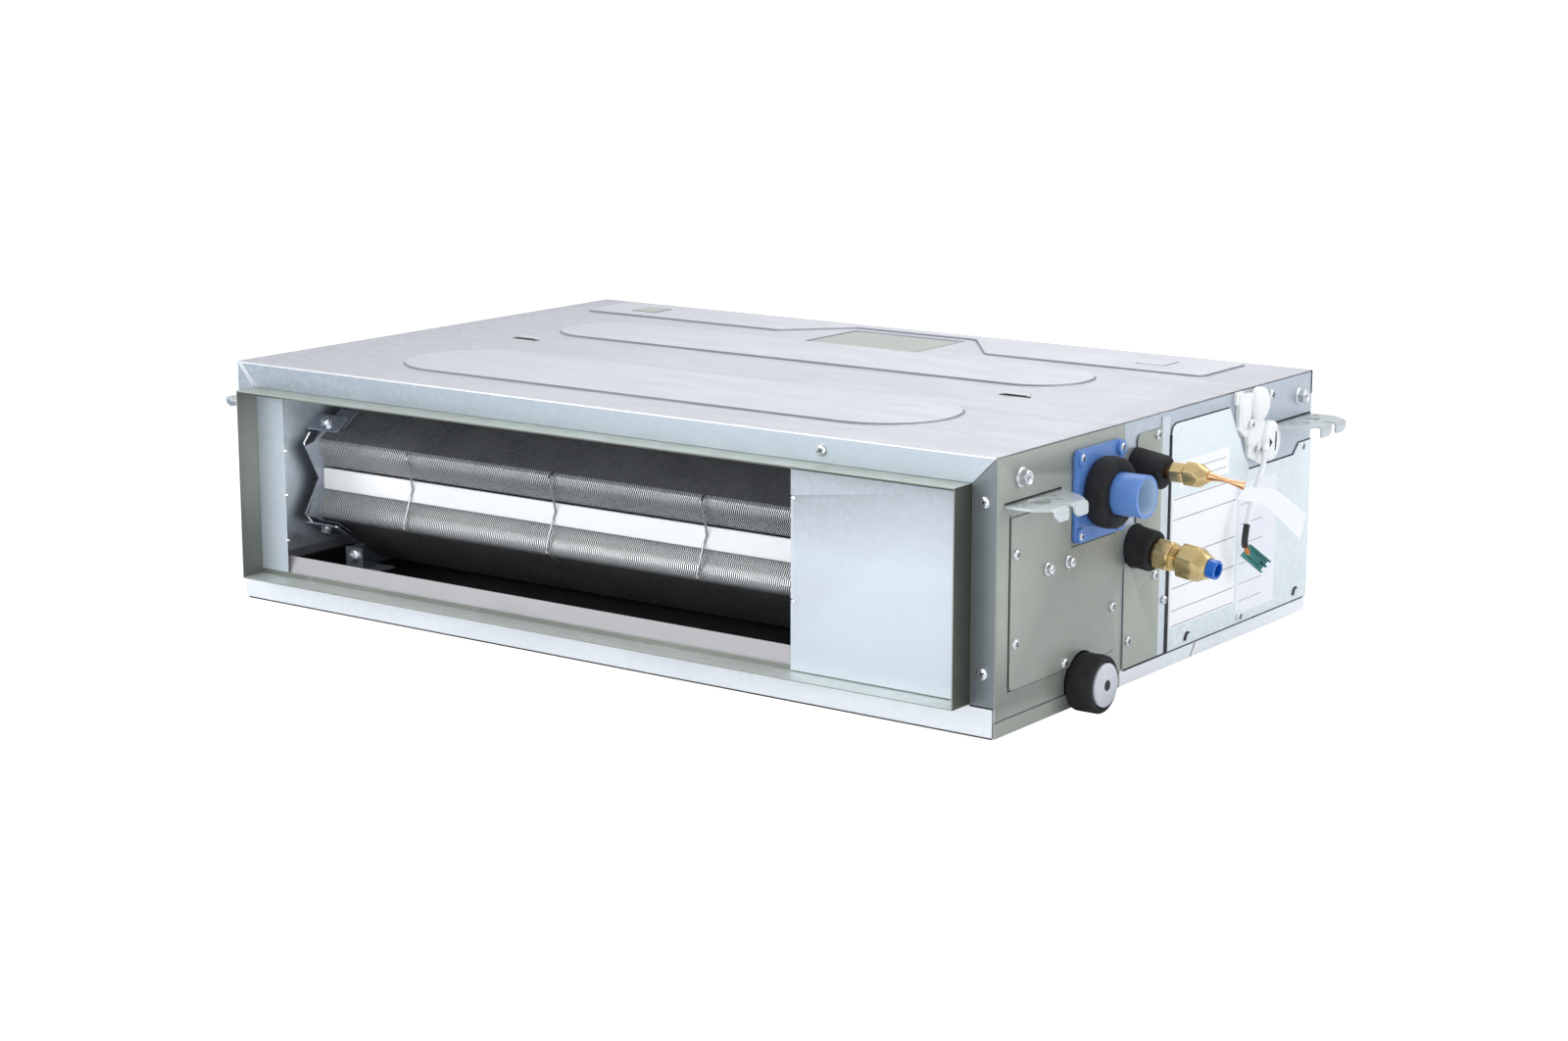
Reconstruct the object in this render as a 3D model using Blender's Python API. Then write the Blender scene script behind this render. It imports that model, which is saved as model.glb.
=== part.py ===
"""Slim ducted indoor air-conditioning unit: sheet-metal case, V-shaped coil, twin blowers and drain pump.

All sizes below are millimetres; the meshes are made in metres. +X is the connection side, -Y the supply
side and +Z up. The origin is the middle of the case's underside.
"""

import math

import bmesh
import bpy
from mathutils import Matrix, Vector

MM = 0.001

# Case
CASE_W = 740.0
CASE_D = 480.0
CASE_H = 200.0
SHEET = 1.0
GAP = 0.3
LIP = 20.0
BOTTOM_LIP = 22.0
SIDE_LIP = 12.0
TOP_FLANGE = 12.0
FRONT_PANEL_D = 175.0
OPENING_TOP_LIP = 7.0

RIGHT = CASE_W / 2
LEFT = -RIGHT
FRONT = -CASE_D / 2
REAR = CASE_D / 2
INNER_RIGHT = RIGHT - SHEET - GAP
INNER_LEFT = -INNER_RIGHT
SPLIT_Y = FRONT + FRONT_PANEL_D
SIDE_TOP = CASE_H - SHEET - GAP
SIDE_FOOT = SIDE_LIP + GAP
COVER_X = RIGHT + GAP
FLOOR_Z = SHEET + GAP

# Embossed top
RIB_RISE = 1.6
RIB_SLOPE = 2.6
RIB_INSET = 120.0
FRONT_RIB_START = 50.0
FRONT_RIB_D = 120.0
RIB_SPACE = 98.0
REAR_RIB_INSET = 52.0
REAR_RIB_START = 84.0
REAR_RIB_EDGE = 12.0
REAR_RIB_SPACE = 24.0
HATCH_W = 120.0
HATCH_D = 84.0
HATCH_FRONT = 120.0
HATCH_STEP = 10.0
HATCH_SINK = 1.2
HATCH_SLOPE = 0.8

# Side hatch
SIDE_HATCH_EDGE = 18.0
SIDE_HATCH_LOW = 31.0

# Supply side
COLLAR_DEPTH = 22.0
FOOT_W = 31.0
FOOT_LOW = 5.0
BLANK_W = 152.0
BLANK_LOW = 24.0
SILL_TOP = 40.0
SILL_LEAN = math.radians(18)
NOTCH = 3.0

# Return side
RETURN_DEPTH = 20.0
RETURN_W = CASE_W - 100.0
RETURN_LOW = 26.0
RETURN_HIGH = CASE_H - 24.0
RETURN_LAP = 10.0
FILTER_T = 6.0
FILTER_BAR = 9.0
FILTER_CROSS = 5
FILTER_RAIL = 2.0

# Coil
COIL_ANGLE = math.radians(34)
COIL_T = 27.0
COIL_NOSE = 58.0
COIL_MID_Z = CASE_H / 2 - 6.0
COIL_TOP_GAP = 13.605
COIL_PAN_GAP = 5.607
COIL_OPEN = 15.0
COIL_LEFT_GAP = 28.0
COIL_RIGHT_GAP = 142.0
COIL_CORE = 9.0
FIN_PITCH = 21.0
FIN_T = 2.0
PLATE_T = 1.2
PLATE_LIP = 11.0
PLATE_EDGE = 3.0
TUBE_R = 3.5
TUBE_PITCH = 21.0
TUBE_ROW = 6.7
COIL_LEFT = LEFT + COIL_LEFT_GAP
COIL_RIGHT = RIGHT - COIL_RIGHT_GAP
NOSE_Y = FRONT + COIL_NOSE
INNER_NOSE_Y = NOSE_Y + COIL_T * math.sin(COIL_ANGLE)
CLIP_R = 0.9
CLIP_PLACES = {"left": 103.0, "middle": 257.5, "right": 409.5}

# Drain pan
PAN_FLOOR = 8.0
PAN_TOP = FLOOR_Z + PAN_FLOOR
PAN_WALL = 7.0
PAN_FRONT = 8.0
PAN_FRONT_H = 30.0
PAN_SIDE_H = 24.0
PAN_REAR_GAP = 12.0
COIL_REACH_Z = COIL_OPEN / 2 + COIL_T * math.cos(COIL_ANGLE)
COIL_UPPER = (CASE_H - SHEET - COIL_TOP_GAP - COIL_MID_Z - COIL_REACH_Z) / math.sin(COIL_ANGLE)
COIL_LOWER = (COIL_MID_Z - COIL_REACH_Z - PAN_TOP - COIL_PAN_GAP) / math.sin(COIL_ANGLE)

# Blowers
FAN_X = -30.0
FAN_Y = REAR - 112.0
FAN_Z = CASE_H / 2 - 4.0
SCROLL_TOP_GAP = 16.0
SCROLL_END_R = CASE_H - SHEET - SCROLL_TOP_GAP - FAN_Z
SCROLL_CUT_R = SCROLL_END_R - 19.0
WHEEL_R = SCROLL_CUT_R - 6.0
WHEEL_L = 150.0
WHEEL_INNER_R = WHEEL_R - 12.0
BLADES = 20
BLADE_T = 1.2
BLADE_BEND = math.radians(24)
RING_W = 3.0
RING_T = 2.5
HUB_R = 13.0
HUB_L = 24.0
SHAFT_R = 6.0
SCROLL_T = 1.5
SCROLL_SIDE = 4.0
SCROLL_OUT_LOW = FAN_Z + 12.0
SCROLL_RUN = 38.2
PARTITION_Y = FAN_Y - SCROLL_END_R - SCROLL_T - SCROLL_RUN - SHEET - GAP
INLET_R = WHEEL_R - 9.0
WHEEL_NEAR = 52.0
MOTOR_R = WHEEL_R - 16.0
MOTOR_L = 84.0
CRADLE_W = 26.0
CRADLE_T = 4.0

# Drain pump
PUMP_X = RIGHT - 70.0
PUMP_Y = FRONT + 135.0
PUMP_BOWL_R = 20.0
PUMP_BOWL_LOW = 22.0
PUMP_BOWL_HIGH = 46.0
PUMP_MOUTH_R = 9.0
PUMP_WALL = 1.6
PUMP_CAN_R = 23.0
PUMP_CAN_LIFT = 5.7
PUMP_SHAFT_R = 2.5
PUMP_CAN_H = 44.3
PUMP_SHELF_Z = PUMP_BOWL_HIGH + PUMP_CAN_LIFT + PUMP_CAN_H
PUMP_SHELF_REAR = 33.0
PUMP_LEG_H = 22.0
FLOAT_X = RIGHT - 96.0
FLOAT_Y = PUMP_Y + 22.0
FLOAT_R = 11.0
FLOAT_H = 14.0
FLOAT_STEM_R = 3.0

# Pumped drain outlet
OUTLET_Y = FRONT + 135.0
OUTLET_Z = CASE_H - 44.5
OUTLET_R = 15.8
OUTLET_BORE = 13.2
OUTLET_OUT = 42.0
OUTLET_PLATE = 68.0
OUTLET_PLATE_T = 3.0
OUTLET_BOSS_R = 7.0
OUTLET_SCREW = 28.0
OUTLET_SLEEVE_R = 26.0
OUTLET_SLEEVE_L = 17.0
HOSE_R = 8.0
HOSE_X = RIGHT - 24.0
HOSE_BEND = 12.0
HOSE_END = 6.0

# Gravity drain
DRAIN_Y = FRONT + 117.0
DRAIN_Z = 17.5
DRAIN_R = 11.0
DRAIN_BORE = 8.5
DRAIN_SLEEVE_R = 22.0
DRAIN_SLEEVE_IN = 12.2
DRAIN_SLEEVE_OUT = 21.0
DRAIN_PLUG_R = 16.4
DRAIN_PLUG_HOLE = 4.0
DRAIN_STEM_R = 6.2
DRAIN_STEM_IN = 8.0

# Refrigerant connections
LIQUID_Y = FRONT + 193.0
LIQUID_Z = CASE_H - 36.6
LIQUID_R = 3.2
LIQUID_SLEEVE_R = 12.0
LIQUID_SLEEVE_OUT = 25.5
LIQUID_UNION = (30.2, 41.4, 13.6)
LIQUID_THREAD_R = 5.4
LIQUID_NUT = (41.8, 54.0, 17.0)
LIQUID_NUT_TIP = 60.6
LIQUID_TAIL = 89.0
HEADER_END = 1.3
GAS_Y = FRONT + 193.0
GAS_Z = CASE_H - 95.4
GAS_R = 6.35
GAS_TILT = math.radians(8)
GAS_SLEEVE_R = 15.5
GAS_SLEEVE_OUT = 18.5
GAS_UNION = (20.0, 33.4, 21.0)
GAS_THREAD_R = 8.8
GAS_NUT = (39.8, 56.2, 25.0)
GAS_NUT_TIP = 63.6
GAS_PLUG_R = 7.2
GAS_PLUG_OUT = 70.6
BORE_GAP = 0.35

# Electrical box
BOX_FRONT = SPLIT_Y + 81.0
BOX_REAR = REAR - 14.0
BOX_LOW = 22.0
BOX_HIGH = CASE_H - 76.0
BOX_DEEP = 62.0
BOX_FLANGE = 8.0
COVER_FRONT = SPLIT_Y + 70.0
COVER_LOW = 12.6
COVER_HIGH = CASE_H - 12.0
COVER_STEP = CASE_H - 65.5
CLAMP_H = 7.5

# Hangers
HANGER_Z = CASE_H - 36.4
HANGER_T = 2.0
HANGER_PAD = 0.3
HANGER_PAD_START = 7.0
HANGER_CLEAR = 1.5
HANGER_ROOT = 38.0
HANGER_TIP = 27.0
HANGER_OUT = 36.0
HANGER_TAB = 9.0
HANGER_SLOT = 11.0
HANGER_FRONT_Y = FRONT + 48.0
HANGER_REAR_Y = REAR - 39.0
HANGER_BOLT = 16.5
HANGER_BOLT_UP = 18.0

# Sensor lead and pipe tag
LEAD_R = 2.2
LEAD_ROUTE = [
    (376.5, 146.0, 148.2), (379.2, 141.2, 144.2), (381.3, 136.0, 139.6), (382.6, 130.4, 134.6),
    (383.4, 124.6, 129.2), (384.0, 119.0, 123.4), (384.4, 113.8, 117.2), (384.8, 109.4, 110.6),
    (385.1, 105.9, 103.8), (385.3, 103.2, 97.0), (385.5, 101.0, 90.4), (385.7, 99.6, 84.4),
    (386.0, 100.0, 79.6), (386.4, 102.2, 76.2), (386.8, 105.2, 73.8),
]
CONNECTOR_SIZE = (6.0, 21.0, 12.0)
TAG_W = 11.0
TAG_T = 0.6


def across_x(p, q, h):
    return Vector((h, p, q))


def across_y(p, q, h):
    return Vector((p, h, q))


def across_z(p, q, h):
    return Vector((p, q, h))


def along(start, direction):
    """A placing rule whose height runs from start along direction."""
    origin = Vector(start)
    axis = Vector(direction).normalized()
    hint = Vector((0, 0, 1)) if abs(axis.z) < 0.9 else Vector((0, 1, 0))
    side = hint.cross(axis).normalized()
    up = axis.cross(side)
    return lambda p, q, h: origin + side * p + up * q + axis * h


def shape_of(bm):
    bmesh.ops.recalc_face_normals(bm, faces=bm.faces)
    bmesh.ops.scale(bm, vec=(MM, MM, MM), verts=bm.verts)
    mesh = bpy.data.meshes.new("shape")
    bm.to_mesh(mesh)
    bm.free()
    obj = bpy.data.objects.new("shape", mesh)
    bpy.context.scene.collection.objects.link(obj)
    return obj


def prism(outline, low, high, place=across_z, holes=()):
    """An outline with holes in it, extruded from low to high."""
    bm = bmesh.new()
    edges = []
    for loop in (outline, *holes):
        verts = [bm.verts.new(place(p, q, low)) for p, q in loop]
        edges += [bm.edges.new((verts[i - 1], verts[i])) for i in range(len(verts))]
    if holes:
        bmesh.ops.triangle_fill(bm, use_beauty=True, edges=edges)
    else:
        bm.faces.new(verts)
    grown = bmesh.ops.extrude_face_region(bm, geom=bm.faces[:])
    moved = [item for item in grown["geom"] if isinstance(item, bmesh.types.BMVert)]
    bmesh.ops.translate(bm, vec=place(0, 0, high) - place(0, 0, low), verts=moved)
    return shape_of(bm)


def block(low, high):
    outline = [(low[0], low[1]), (high[0], low[1]), (high[0], high[1]), (low[0], high[1])]
    return prism(outline, low[2], high[2])


def turned(profile, place, sides=24, closed=False):
    """A profile of (height, radius) points turned about the placing rule's axis."""
    bm = bmesh.new()
    rings = []
    for height, radius in profile:
        count = sides if radius else 1
        angles = [2 * math.pi * (i + 0.5) / sides for i in range(count)]
        rings.append([bm.verts.new(place(radius * math.cos(a), radius * math.sin(a), height)) for a in angles])
    pairs = list(zip(rings, rings[1:]))
    if closed:
        pairs.append((rings[-1], rings[0]))
    for first, second in pairs:
        for i in range(sides):
            j = (i + 1) % sides
            if len(first) == len(second) == 1:
                continue
            if len(first) == 1:
                bm.faces.new((first[0], second[j], second[i]))
            elif len(second) == 1:
                bm.faces.new((first[i], first[j], second[0]))
            else:
                bm.faces.new((first[i], first[j], second[j], second[i]))
    return shape_of(bm)


def tube(place, low, high, outer, inner, sides=24):
    return turned([(low, outer), (high, outer), (high, inner), (low, inner)], place, sides, closed=True)


def rod(place, low, high, radius, sides=16):
    return turned([(low, 0), (low, radius), (high, radius), (high, 0)], place, sides)


def swept(path, radius, sides=8):
    """A round bar along path. The radius is a number, or one (across, up) pair for each point."""
    points = [Vector(p) for p in path]
    sizes = [(radius, radius)] * len(points) if isinstance(radius, (int, float)) else radius
    steps = [(b - a).normalized() for a, b in zip(points, points[1:])]
    tangents = [steps[0]] + [(a + b).normalized() for a, b in zip(steps, steps[1:])] + [steps[-1]]
    hint = Vector((0, 0, 1)) if abs(tangents[0].z) < 0.9 else Vector((0, 1, 0))
    up = (hint - tangents[0] * hint.dot(tangents[0])).normalized()
    bm = bmesh.new()
    rings = []
    for point, tangent, (across, tall) in zip(points, tangents, sizes):
        up = (up - tangent * up.dot(tangent)).normalized()
        side = tangent.cross(up)
        angles = [2 * math.pi * (i + 0.5) / sides for i in range(sides)]
        rings.append(
            [bm.verts.new(point + side * across * math.cos(a) + up * tall * math.sin(a)) for a in angles]
        )
    for first, second in zip(rings, rings[1:]):
        for i in range(sides):
            j = (i + 1) % sides
            bm.faces.new((first[i], first[j], second[j], second[i]))
    bm.faces.new(rings[0])
    bm.faces.new(rings[-1])
    return shape_of(bm)


def bent(points, radius, steps=3):
    """The open path with each corner turned into an arc."""
    path = [Vector(p) for p in points]
    out = [path[0]]
    for before, here, after in zip(path, path[1:], path[2:]):
        back, ahead = (before - here).normalized(), (after - here).normalized()
        half = back.angle(ahead) / 2
        reach = radius / math.tan(half)
        centre = here + (back + ahead).normalized() * (radius / math.sin(half))
        start, end = here + back * reach - centre, here + ahead * reach - centre
        turn = start.angle(end)
        for k in range(steps + 1):
            share = k / steps
            arm = (start * math.sin(turn * (1 - share)) + end * math.sin(turn * share)) / math.sin(turn)
            out.append(centre + arm)
    return out + [path[-1]]


def ring(cx, cy, radius, sides=20):
    angles = [2 * math.pi * (i + 0.5) / sides for i in range(sides)]
    return [(cx + radius * math.cos(a), cy + radius * math.sin(a)) for a in angles]


def rect(x0, y0, x1, y1):
    return [(x0, y0), (x1, y0), (x1, y1), (x0, y1)]


def rounded(points, radius, steps=4):
    """The outline with each corner turned into an arc."""
    out = []
    count = len(points)
    for i in range(count):
        here = Vector(points[i])
        before = (Vector(points[i - 1]) - here).normalized()
        after = (Vector(points[(i + 1) % count]) - here).normalized()
        half = before.angle(after) / 2
        reach = radius / math.tan(half)
        centre = here + (before + after).normalized() * (radius / math.sin(half))
        start = here + before * reach - centre
        end = here + after * reach - centre
        turn = math.atan2(start.x * end.y - start.y * end.x, start.dot(end))
        for k in range(steps + 1):
            a = turn * k / steps
            spun = Vector((start.x * math.cos(a) - start.y * math.sin(a), start.x * math.sin(a) + start.y * math.cos(a)))
            out.append(tuple(centre + spun))
    return out


def inset(points, distance):
    """The outline moved inwards by distance. It runs anticlockwise."""
    out = []
    count = len(points)
    for i in range(count):
        here = Vector(points[i])
        before = (here - Vector(points[i - 1])).normalized()
        after = (Vector(points[(i + 1) % count]) - here).normalized()
        inward = Vector((-before.y - after.y, before.x + after.x)).normalized()
        out.append(tuple(here + inward * distance / max(0.3, inward.dot(Vector((-before.y, before.x))))))
    return out


def hexagon(across_flats):
    radius = across_flats / math.sqrt(3)
    return [(radius * math.cos(math.pi * i / 3), radius * math.sin(math.pi * i / 3)) for i in range(6)]


def removed(obj):
    bpy.data.objects.remove(obj)


def combined(base, added=(), cut=()):
    """The base with shapes joined to it and others cut from it, as one mesh."""
    for others, operation in ((added, "UNION"), (cut, "DIFFERENCE")):
        for other in others:
            modifier = base.modifiers.new(operation, "BOOLEAN")
            modifier.operation = operation
            modifier.object = other
            modifier.solver = "EXACT"
    graph = bpy.context.evaluated_depsgraph_get()
    mesh = bpy.data.meshes.new_from_object(base.evaluated_get(graph))
    base.modifiers.clear()
    base.data = mesh
    for other in (*added, *cut):
        removed(other)
    return base


def finish(name, colour, roughness, metallic):
    material = bpy.data.materials.new(name)
    material.use_nodes = True
    shader = material.node_tree.nodes["Principled BSDF"]
    shader.inputs["Base Color"].default_value = (*colour, 1)
    shader.inputs["Roughness"].default_value = roughness
    shader.inputs["Metallic"].default_value = metallic
    return material


def piece(name, obj, material, origin=(0, 0, 0), parent=None, smooth=False):
    """Names a finished shape and puts its origin where it turns, slides or is fastened."""
    place = Vector(origin) * MM
    obj.data.transform(Matrix.Translation(-place))
    obj.location = place
    obj.name = name
    obj.data.name = name
    obj.data.materials.clear()
    obj.data.materials.append(material)
    if smooth:
        obj.data.shade_smooth()
        obj.data.set_sharp_from_angle(angle=math.radians(35))
    if parent:
        obj.parent = parent
        obj.location = place - parent.location
    return obj


def axis_empty(name, origin):
    empty = bpy.data.objects.new(name, None)
    empty.location = Vector(origin) * MM
    bpy.context.scene.collection.objects.link(empty)
    return empty


def clear_scene():
    for obj in list(bpy.data.objects):
        bpy.data.objects.remove(obj)


def rear_rib_outline():
    """The rear rib, stepped back round the hatch."""
    half, front, back = RIGHT - REAR_RIB_INSET, REAR - REAR_RIB_START, REAR - REAR_RIB_EDGE
    hatch = HATCH_W / 2
    jog = REAR - HATCH_FRONT + HATCH_D + HATCH_STEP
    points = [
        (-half, front + 6), (-hatch - 50, front + 6), (-hatch + 4, jog), (hatch - 4, jog),
        (hatch + 50, front - 6), (half, front - 6), (half, back), (-half, back),
    ]
    return rounded(points, 9, 3)


def pressings():
    """Each pressed shape of the top: its outline, its rise and the width of its sloping wall."""
    half = RIGHT - RIB_INSET
    front = FRONT + FRONT_RIB_START
    front_end = front + FRONT_RIB_D
    middle = front_end + RIB_SPACE
    middle_end = REAR - REAR_RIB_START - REAR_RIB_SPACE
    found = []
    for y0, y1 in ((front, front_end), (middle, middle_end)):
        outline = rounded(rect(-half, y0, half, y1), (y1 - y0) / 2 - 0.5, 5)
        found.append((outline, RIB_RISE, RIB_SLOPE))
    low = REAR - HATCH_FRONT
    hatch = rect(-HATCH_W / 2, low, HATCH_W / 2, low + HATCH_D)
    found.append((rounded(hatch, 3, 2), -HATCH_SINK, HATCH_SLOPE))
    return found + [(rear_rib_outline(), RIB_RISE, RIB_SLOPE)]


def embossed_sheet(outline, ribs):
    """The flat top with its pressed ribs and hatch, made as a surface and given the sheet's thickness."""
    bm = bmesh.new()
    edges = []

    def loop(points, z):
        verts = [bm.verts.new((x, y, z)) for x, y in points]
        return verts, [bm.edges.new((verts[i - 1], verts[i])) for i in range(len(verts))]

    edges += loop(outline, CASE_H)[1]
    rings = []
    for rib in ribs:
        verts, around = loop(rib[0], CASE_H)
        edges += around
        rings.append((rib, verts))
    bmesh.ops.triangle_fill(bm, use_beauty=True, edges=edges)
    for (rib, rise, slope), low in rings:
        high = [bm.verts.new((x, y, CASE_H + rise)) for x, y in inset(rib, slope)]
        for i in range(len(low)):
            bm.faces.new((low[i - 1], low[i], high[i], high[i - 1]))
        bm.faces.new(high)
    bmesh.ops.triangulate(bm, faces=[f for f in bm.faces if len(f.verts) > 4])
    obj = shape_of(bm)
    if obj.data.polygons[0].normal.z < 0:
        obj.data.flip_normals()
    thick = obj.modifiers.new("sheet", "SOLIDIFY")
    thick.thickness = SHEET * MM
    thick.offset = -1
    return combined(obj)


def top_panel(steel):
    outline = rect(LEFT, FRONT, RIGHT, REAR)
    sheet = embossed_sheet(outline, pressings())
    band = [
        (LEFT + GAP, CASE_H - SHEET / 2), (LEFT + LIP + GAP, CASE_H - LIP),
        (RIGHT - LIP - GAP, CASE_H - LIP), (RIGHT - GAP, CASE_H - SHEET / 2),
    ]
    front = prism(band, FRONT, FRONT + SHEET, across_y)
    rear = prism(band, REAR - SHEET, REAR, across_y)
    sides = []
    for x in (INNER_RIGHT - SHEET, INNER_LEFT):
        low = (x, FRONT + LIP, CASE_H - SHEET - TOP_FLANGE)
        sides.append(block(low, (x + SHEET, REAR - LIP, CASE_H - SHEET / 2)))
    return piece("top_panel", combined(sheet, [front, rear, *sides]), steel)


def bottom_panel(steel):
    sheet = block((LEFT, FRONT, 0), (RIGHT, REAR, SHEET))
    front = block((LEFT, FRONT, SHEET / 2), (RIGHT, FRONT + SHEET, BOTTOM_LIP))
    rear = block((LEFT, REAR - SHEET, SHEET / 2), (RIGHT, REAR, BOTTOM_LIP))
    left = block((LEFT, FRONT + SHEET / 2, SHEET / 2), (LEFT + SHEET, REAR - SHEET / 2, SIDE_LIP))
    right = block((RIGHT - SHEET, FRONT + SHEET / 2, SHEET / 2), (RIGHT, REAR - SHEET / 2, SIDE_LIP))
    notch = prism(
        ring(DRAIN_Y, DRAIN_Z, DRAIN_SLEEVE_R + GAP, 24), RIGHT - SHEET - 1, RIGHT + 1, across_x
    )
    body = combined(sheet, [front, rear, left, right], [notch])
    return piece("bottom_panel", body, steel)


def front_lip(side):
    """The 20 mm face flange of a side panel, mitred at its top."""
    edge = side * RIGHT
    inner = side * (RIGHT - LIP)
    points = [
        (edge, BOTTOM_LIP + GAP), (edge, CASE_H - SHEET - GAP), (edge - side * GAP, CASE_H - SHEET - GAP),
        (inner, CASE_H - LIP - 2 * GAP), (inner, BOTTOM_LIP + GAP),
    ]
    return points


def left_side_panel(steel):
    sheet = block((LEFT, FRONT + SHEET / 2, SIDE_FOOT), (LEFT + SHEET, REAR - SHEET / 2, SIDE_TOP))
    low = block((LEFT - 1, FRONT - 1, 0), (LEFT + SHEET + 1, FRONT + SHEET + GAP, BOTTOM_LIP + GAP))
    low_rear = block((LEFT - 1, REAR - SHEET - GAP, 0), (LEFT + SHEET + 1, REAR + 1, BOTTOM_LIP + GAP))
    lips = [prism(front_lip(-1), y, y + SHEET, across_y) for y in (FRONT, REAR - SHEET)]
    slots = [hanger_slot(-1, y) for y in (HANGER_FRONT_Y, HANGER_REAR_Y)]
    bolts = [hanger_bolt_hole(-1, y, s) for y, s in ((HANGER_FRONT_Y, -1), (HANGER_REAR_Y, 1))]
    body = combined(sheet, lips, [low, low_rear, *slots, *bolts])
    return piece("left_side_panel", body, steel)


def hanger_slot(side, y):
    half = HANGER_ROOT + GAP
    low = (side * (RIGHT - SHEET / 2) - 2, y - half, HANGER_Z - HANGER_T / 2 - GAP)
    high = HANGER_Z + HANGER_T / 2 + HANGER_CLEAR
    return block(low, (side * (RIGHT - SHEET / 2) + 2, y + half, high))


def hanger_bolt_hole(side, y, outward):
    x = side * (RIGHT - SHEET / 2)
    centre = (x - 2, y + outward * HANGER_BOLT, HANGER_Z + HANGER_BOLT_UP)
    return rod(along(centre, (1, 0, 0)), 0, 4, 3 + GAP, 12)


def right_front_panel(film):
    sheet = block((RIGHT - SHEET, FRONT + SHEET / 2, SIDE_FOOT), (RIGHT, SPLIT_Y - GAP, SIDE_TOP))
    lip = prism(front_lip(1), FRONT, FRONT + SHEET, across_y)
    low = block((RIGHT - SHEET - 1, FRONT - 1, 0), (RIGHT + 1, FRONT + SHEET + GAP, BOTTOM_LIP + GAP))
    hatch_front, hatch_low = FRONT + SIDE_HATCH_EDGE + 8, SIDE_HATCH_LOW + 13
    hatch_outline = rounded(rect(hatch_front, hatch_low, SPLIT_Y - 22, CASE_H - 88), 6)
    hatch = prism(hatch_outline, RIGHT - 3, RIGHT + 2, across_x)
    outlet = rod(along((RIGHT - 3, OUTLET_Y, OUTLET_Z), (1, 0, 0)), 0, 6, OUTLET_R + GAP, 24)
    drain = rod(along((RIGHT - 3, DRAIN_Y, DRAIN_Z), (1, 0, 0)), 0, 6, DRAIN_SLEEVE_R + GAP, 24)
    slot = hanger_slot(1, HANGER_FRONT_Y)
    bolt = hanger_bolt_hole(1, HANGER_FRONT_Y, -1)
    body = combined(sheet, [lip], [low, hatch, outlet, drain, slot, bolt])
    return piece("right_front_panel", body, film)


def right_rear_panel(steel):
    sheet = block((RIGHT - SHEET, SPLIT_Y, SIDE_FOOT), (RIGHT, REAR - SHEET / 2, SIDE_TOP))
    lip = prism(front_lip(1), REAR - SHEET, REAR, across_y)
    low = block((RIGHT - 3, REAR - SHEET - GAP, 0), (RIGHT + 2, REAR + 1, BOTTOM_LIP + GAP))
    box = prism(
        rect(BOX_FRONT + 2, BOX_LOW + 2, BOX_REAR - 2, BOX_HIGH - 2), RIGHT - 3, RIGHT + 2, across_x
    )
    liquid = rod(along((RIGHT - 3, LIQUID_Y, LIQUID_Z), (1, 0, 0)), 0, 6, LIQUID_SLEEVE_R + GAP, 24)
    gas = rod(along((RIGHT - 3, GAS_Y, GAS_Z), (1, 0, 0)), 0, 6, GAS_SLEEVE_R + 3 * GAP, 24)
    slot = hanger_slot(1, HANGER_REAR_Y)
    bolt = hanger_bolt_hole(1, HANGER_REAR_Y, 1)
    cables = []
    for (y, z, _), _ in CLAMPS.values():
        cables.append(rod(along((RIGHT - 3, y, z), (1, 0, 0)), 0, 6, 6, 12))
    body = combined(sheet, [lip], [low, box, liquid, gas, slot, bolt, *cables])
    return piece("right_rear_panel", body, steel)


def supply_collar(film):
    """Four walls of the duct spigot with their feet turned inwards in the case's front plane."""
    half = RIGHT - LIP - GAP
    low, high = BOTTOM_LIP + GAP, CASE_H - LIP - GAP
    foot = half - FOOT_W
    walls = prism(
        rect(-half, low, half, high), FRONT - COLLAR_DEPTH, FRONT + SHEET, across_y,
        holes=[rect(-half + SHEET, low + SHEET, half - SHEET, high - SHEET)],
    )
    feet = prism(
        rect(-half + SHEET / 2, low + SHEET / 2, half - SHEET / 2, high - SHEET / 2), FRONT, FRONT + SHEET,
        across_y, holes=[rect(-foot, low + FOOT_LOW, foot, high - OPENING_TOP_LIP)],
    )
    notches = []
    for z in (55.0, 93.0, 130.0):
        points = [(-foot - NOTCH, z - 1.2), (-foot + 1, z - 1.2), (-foot + 1, z + 1.2), (-foot - NOTCH, z + 1.2)]
        notches.append(prism(points, FRONT - 1, FRONT + 2, across_y))
    return piece("supply_collar", combined(walls, [feet], notches), film, (0, FRONT, CASE_H / 2))


def closing_plate(steel):
    right = RIGHT - LIP - GAP - SHEET - GAP
    left = right - BLANK_W
    high = CASE_H - LIP - OPENING_TOP_LIP
    outline = []
    for z in (75.5, 152.0):
        outline += [(left, z - 1.5), (left + NOTCH, z - 1.5), (left + NOTCH, z + 1.5), (left, z + 1.5)]
    points = [(left, BLANK_LOW), *outline, (left, high), (right, high), (right, BLANK_LOW)]
    plate = prism(points, FRONT - GAP - SHEET, FRONT - GAP, across_y)
    return piece("closing_plate", plate, steel, (right - BLANK_W / 2, FRONT, CASE_H / 2))


def drip_sill(plastic):
    """The strip that leans back from the collar's lower foot over the drain pan's front wall."""
    low = BOTTOM_LIP + GAP + FOOT_LOW - 2
    base = FRONT + SHEET + GAP
    lean = math.tan(SILL_LEAN)
    top = base + (SILL_TOP - low) * lean
    points = [(base, low), (base + SHEET, low), (top + SHEET, SILL_TOP), (top, SILL_TOP)]
    right = RIGHT - LIP - FOOT_W
    body = prism(points, -right + 2, right - 2, across_x)
    return piece("drip_sill", body, plastic, (0, base, low))


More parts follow.
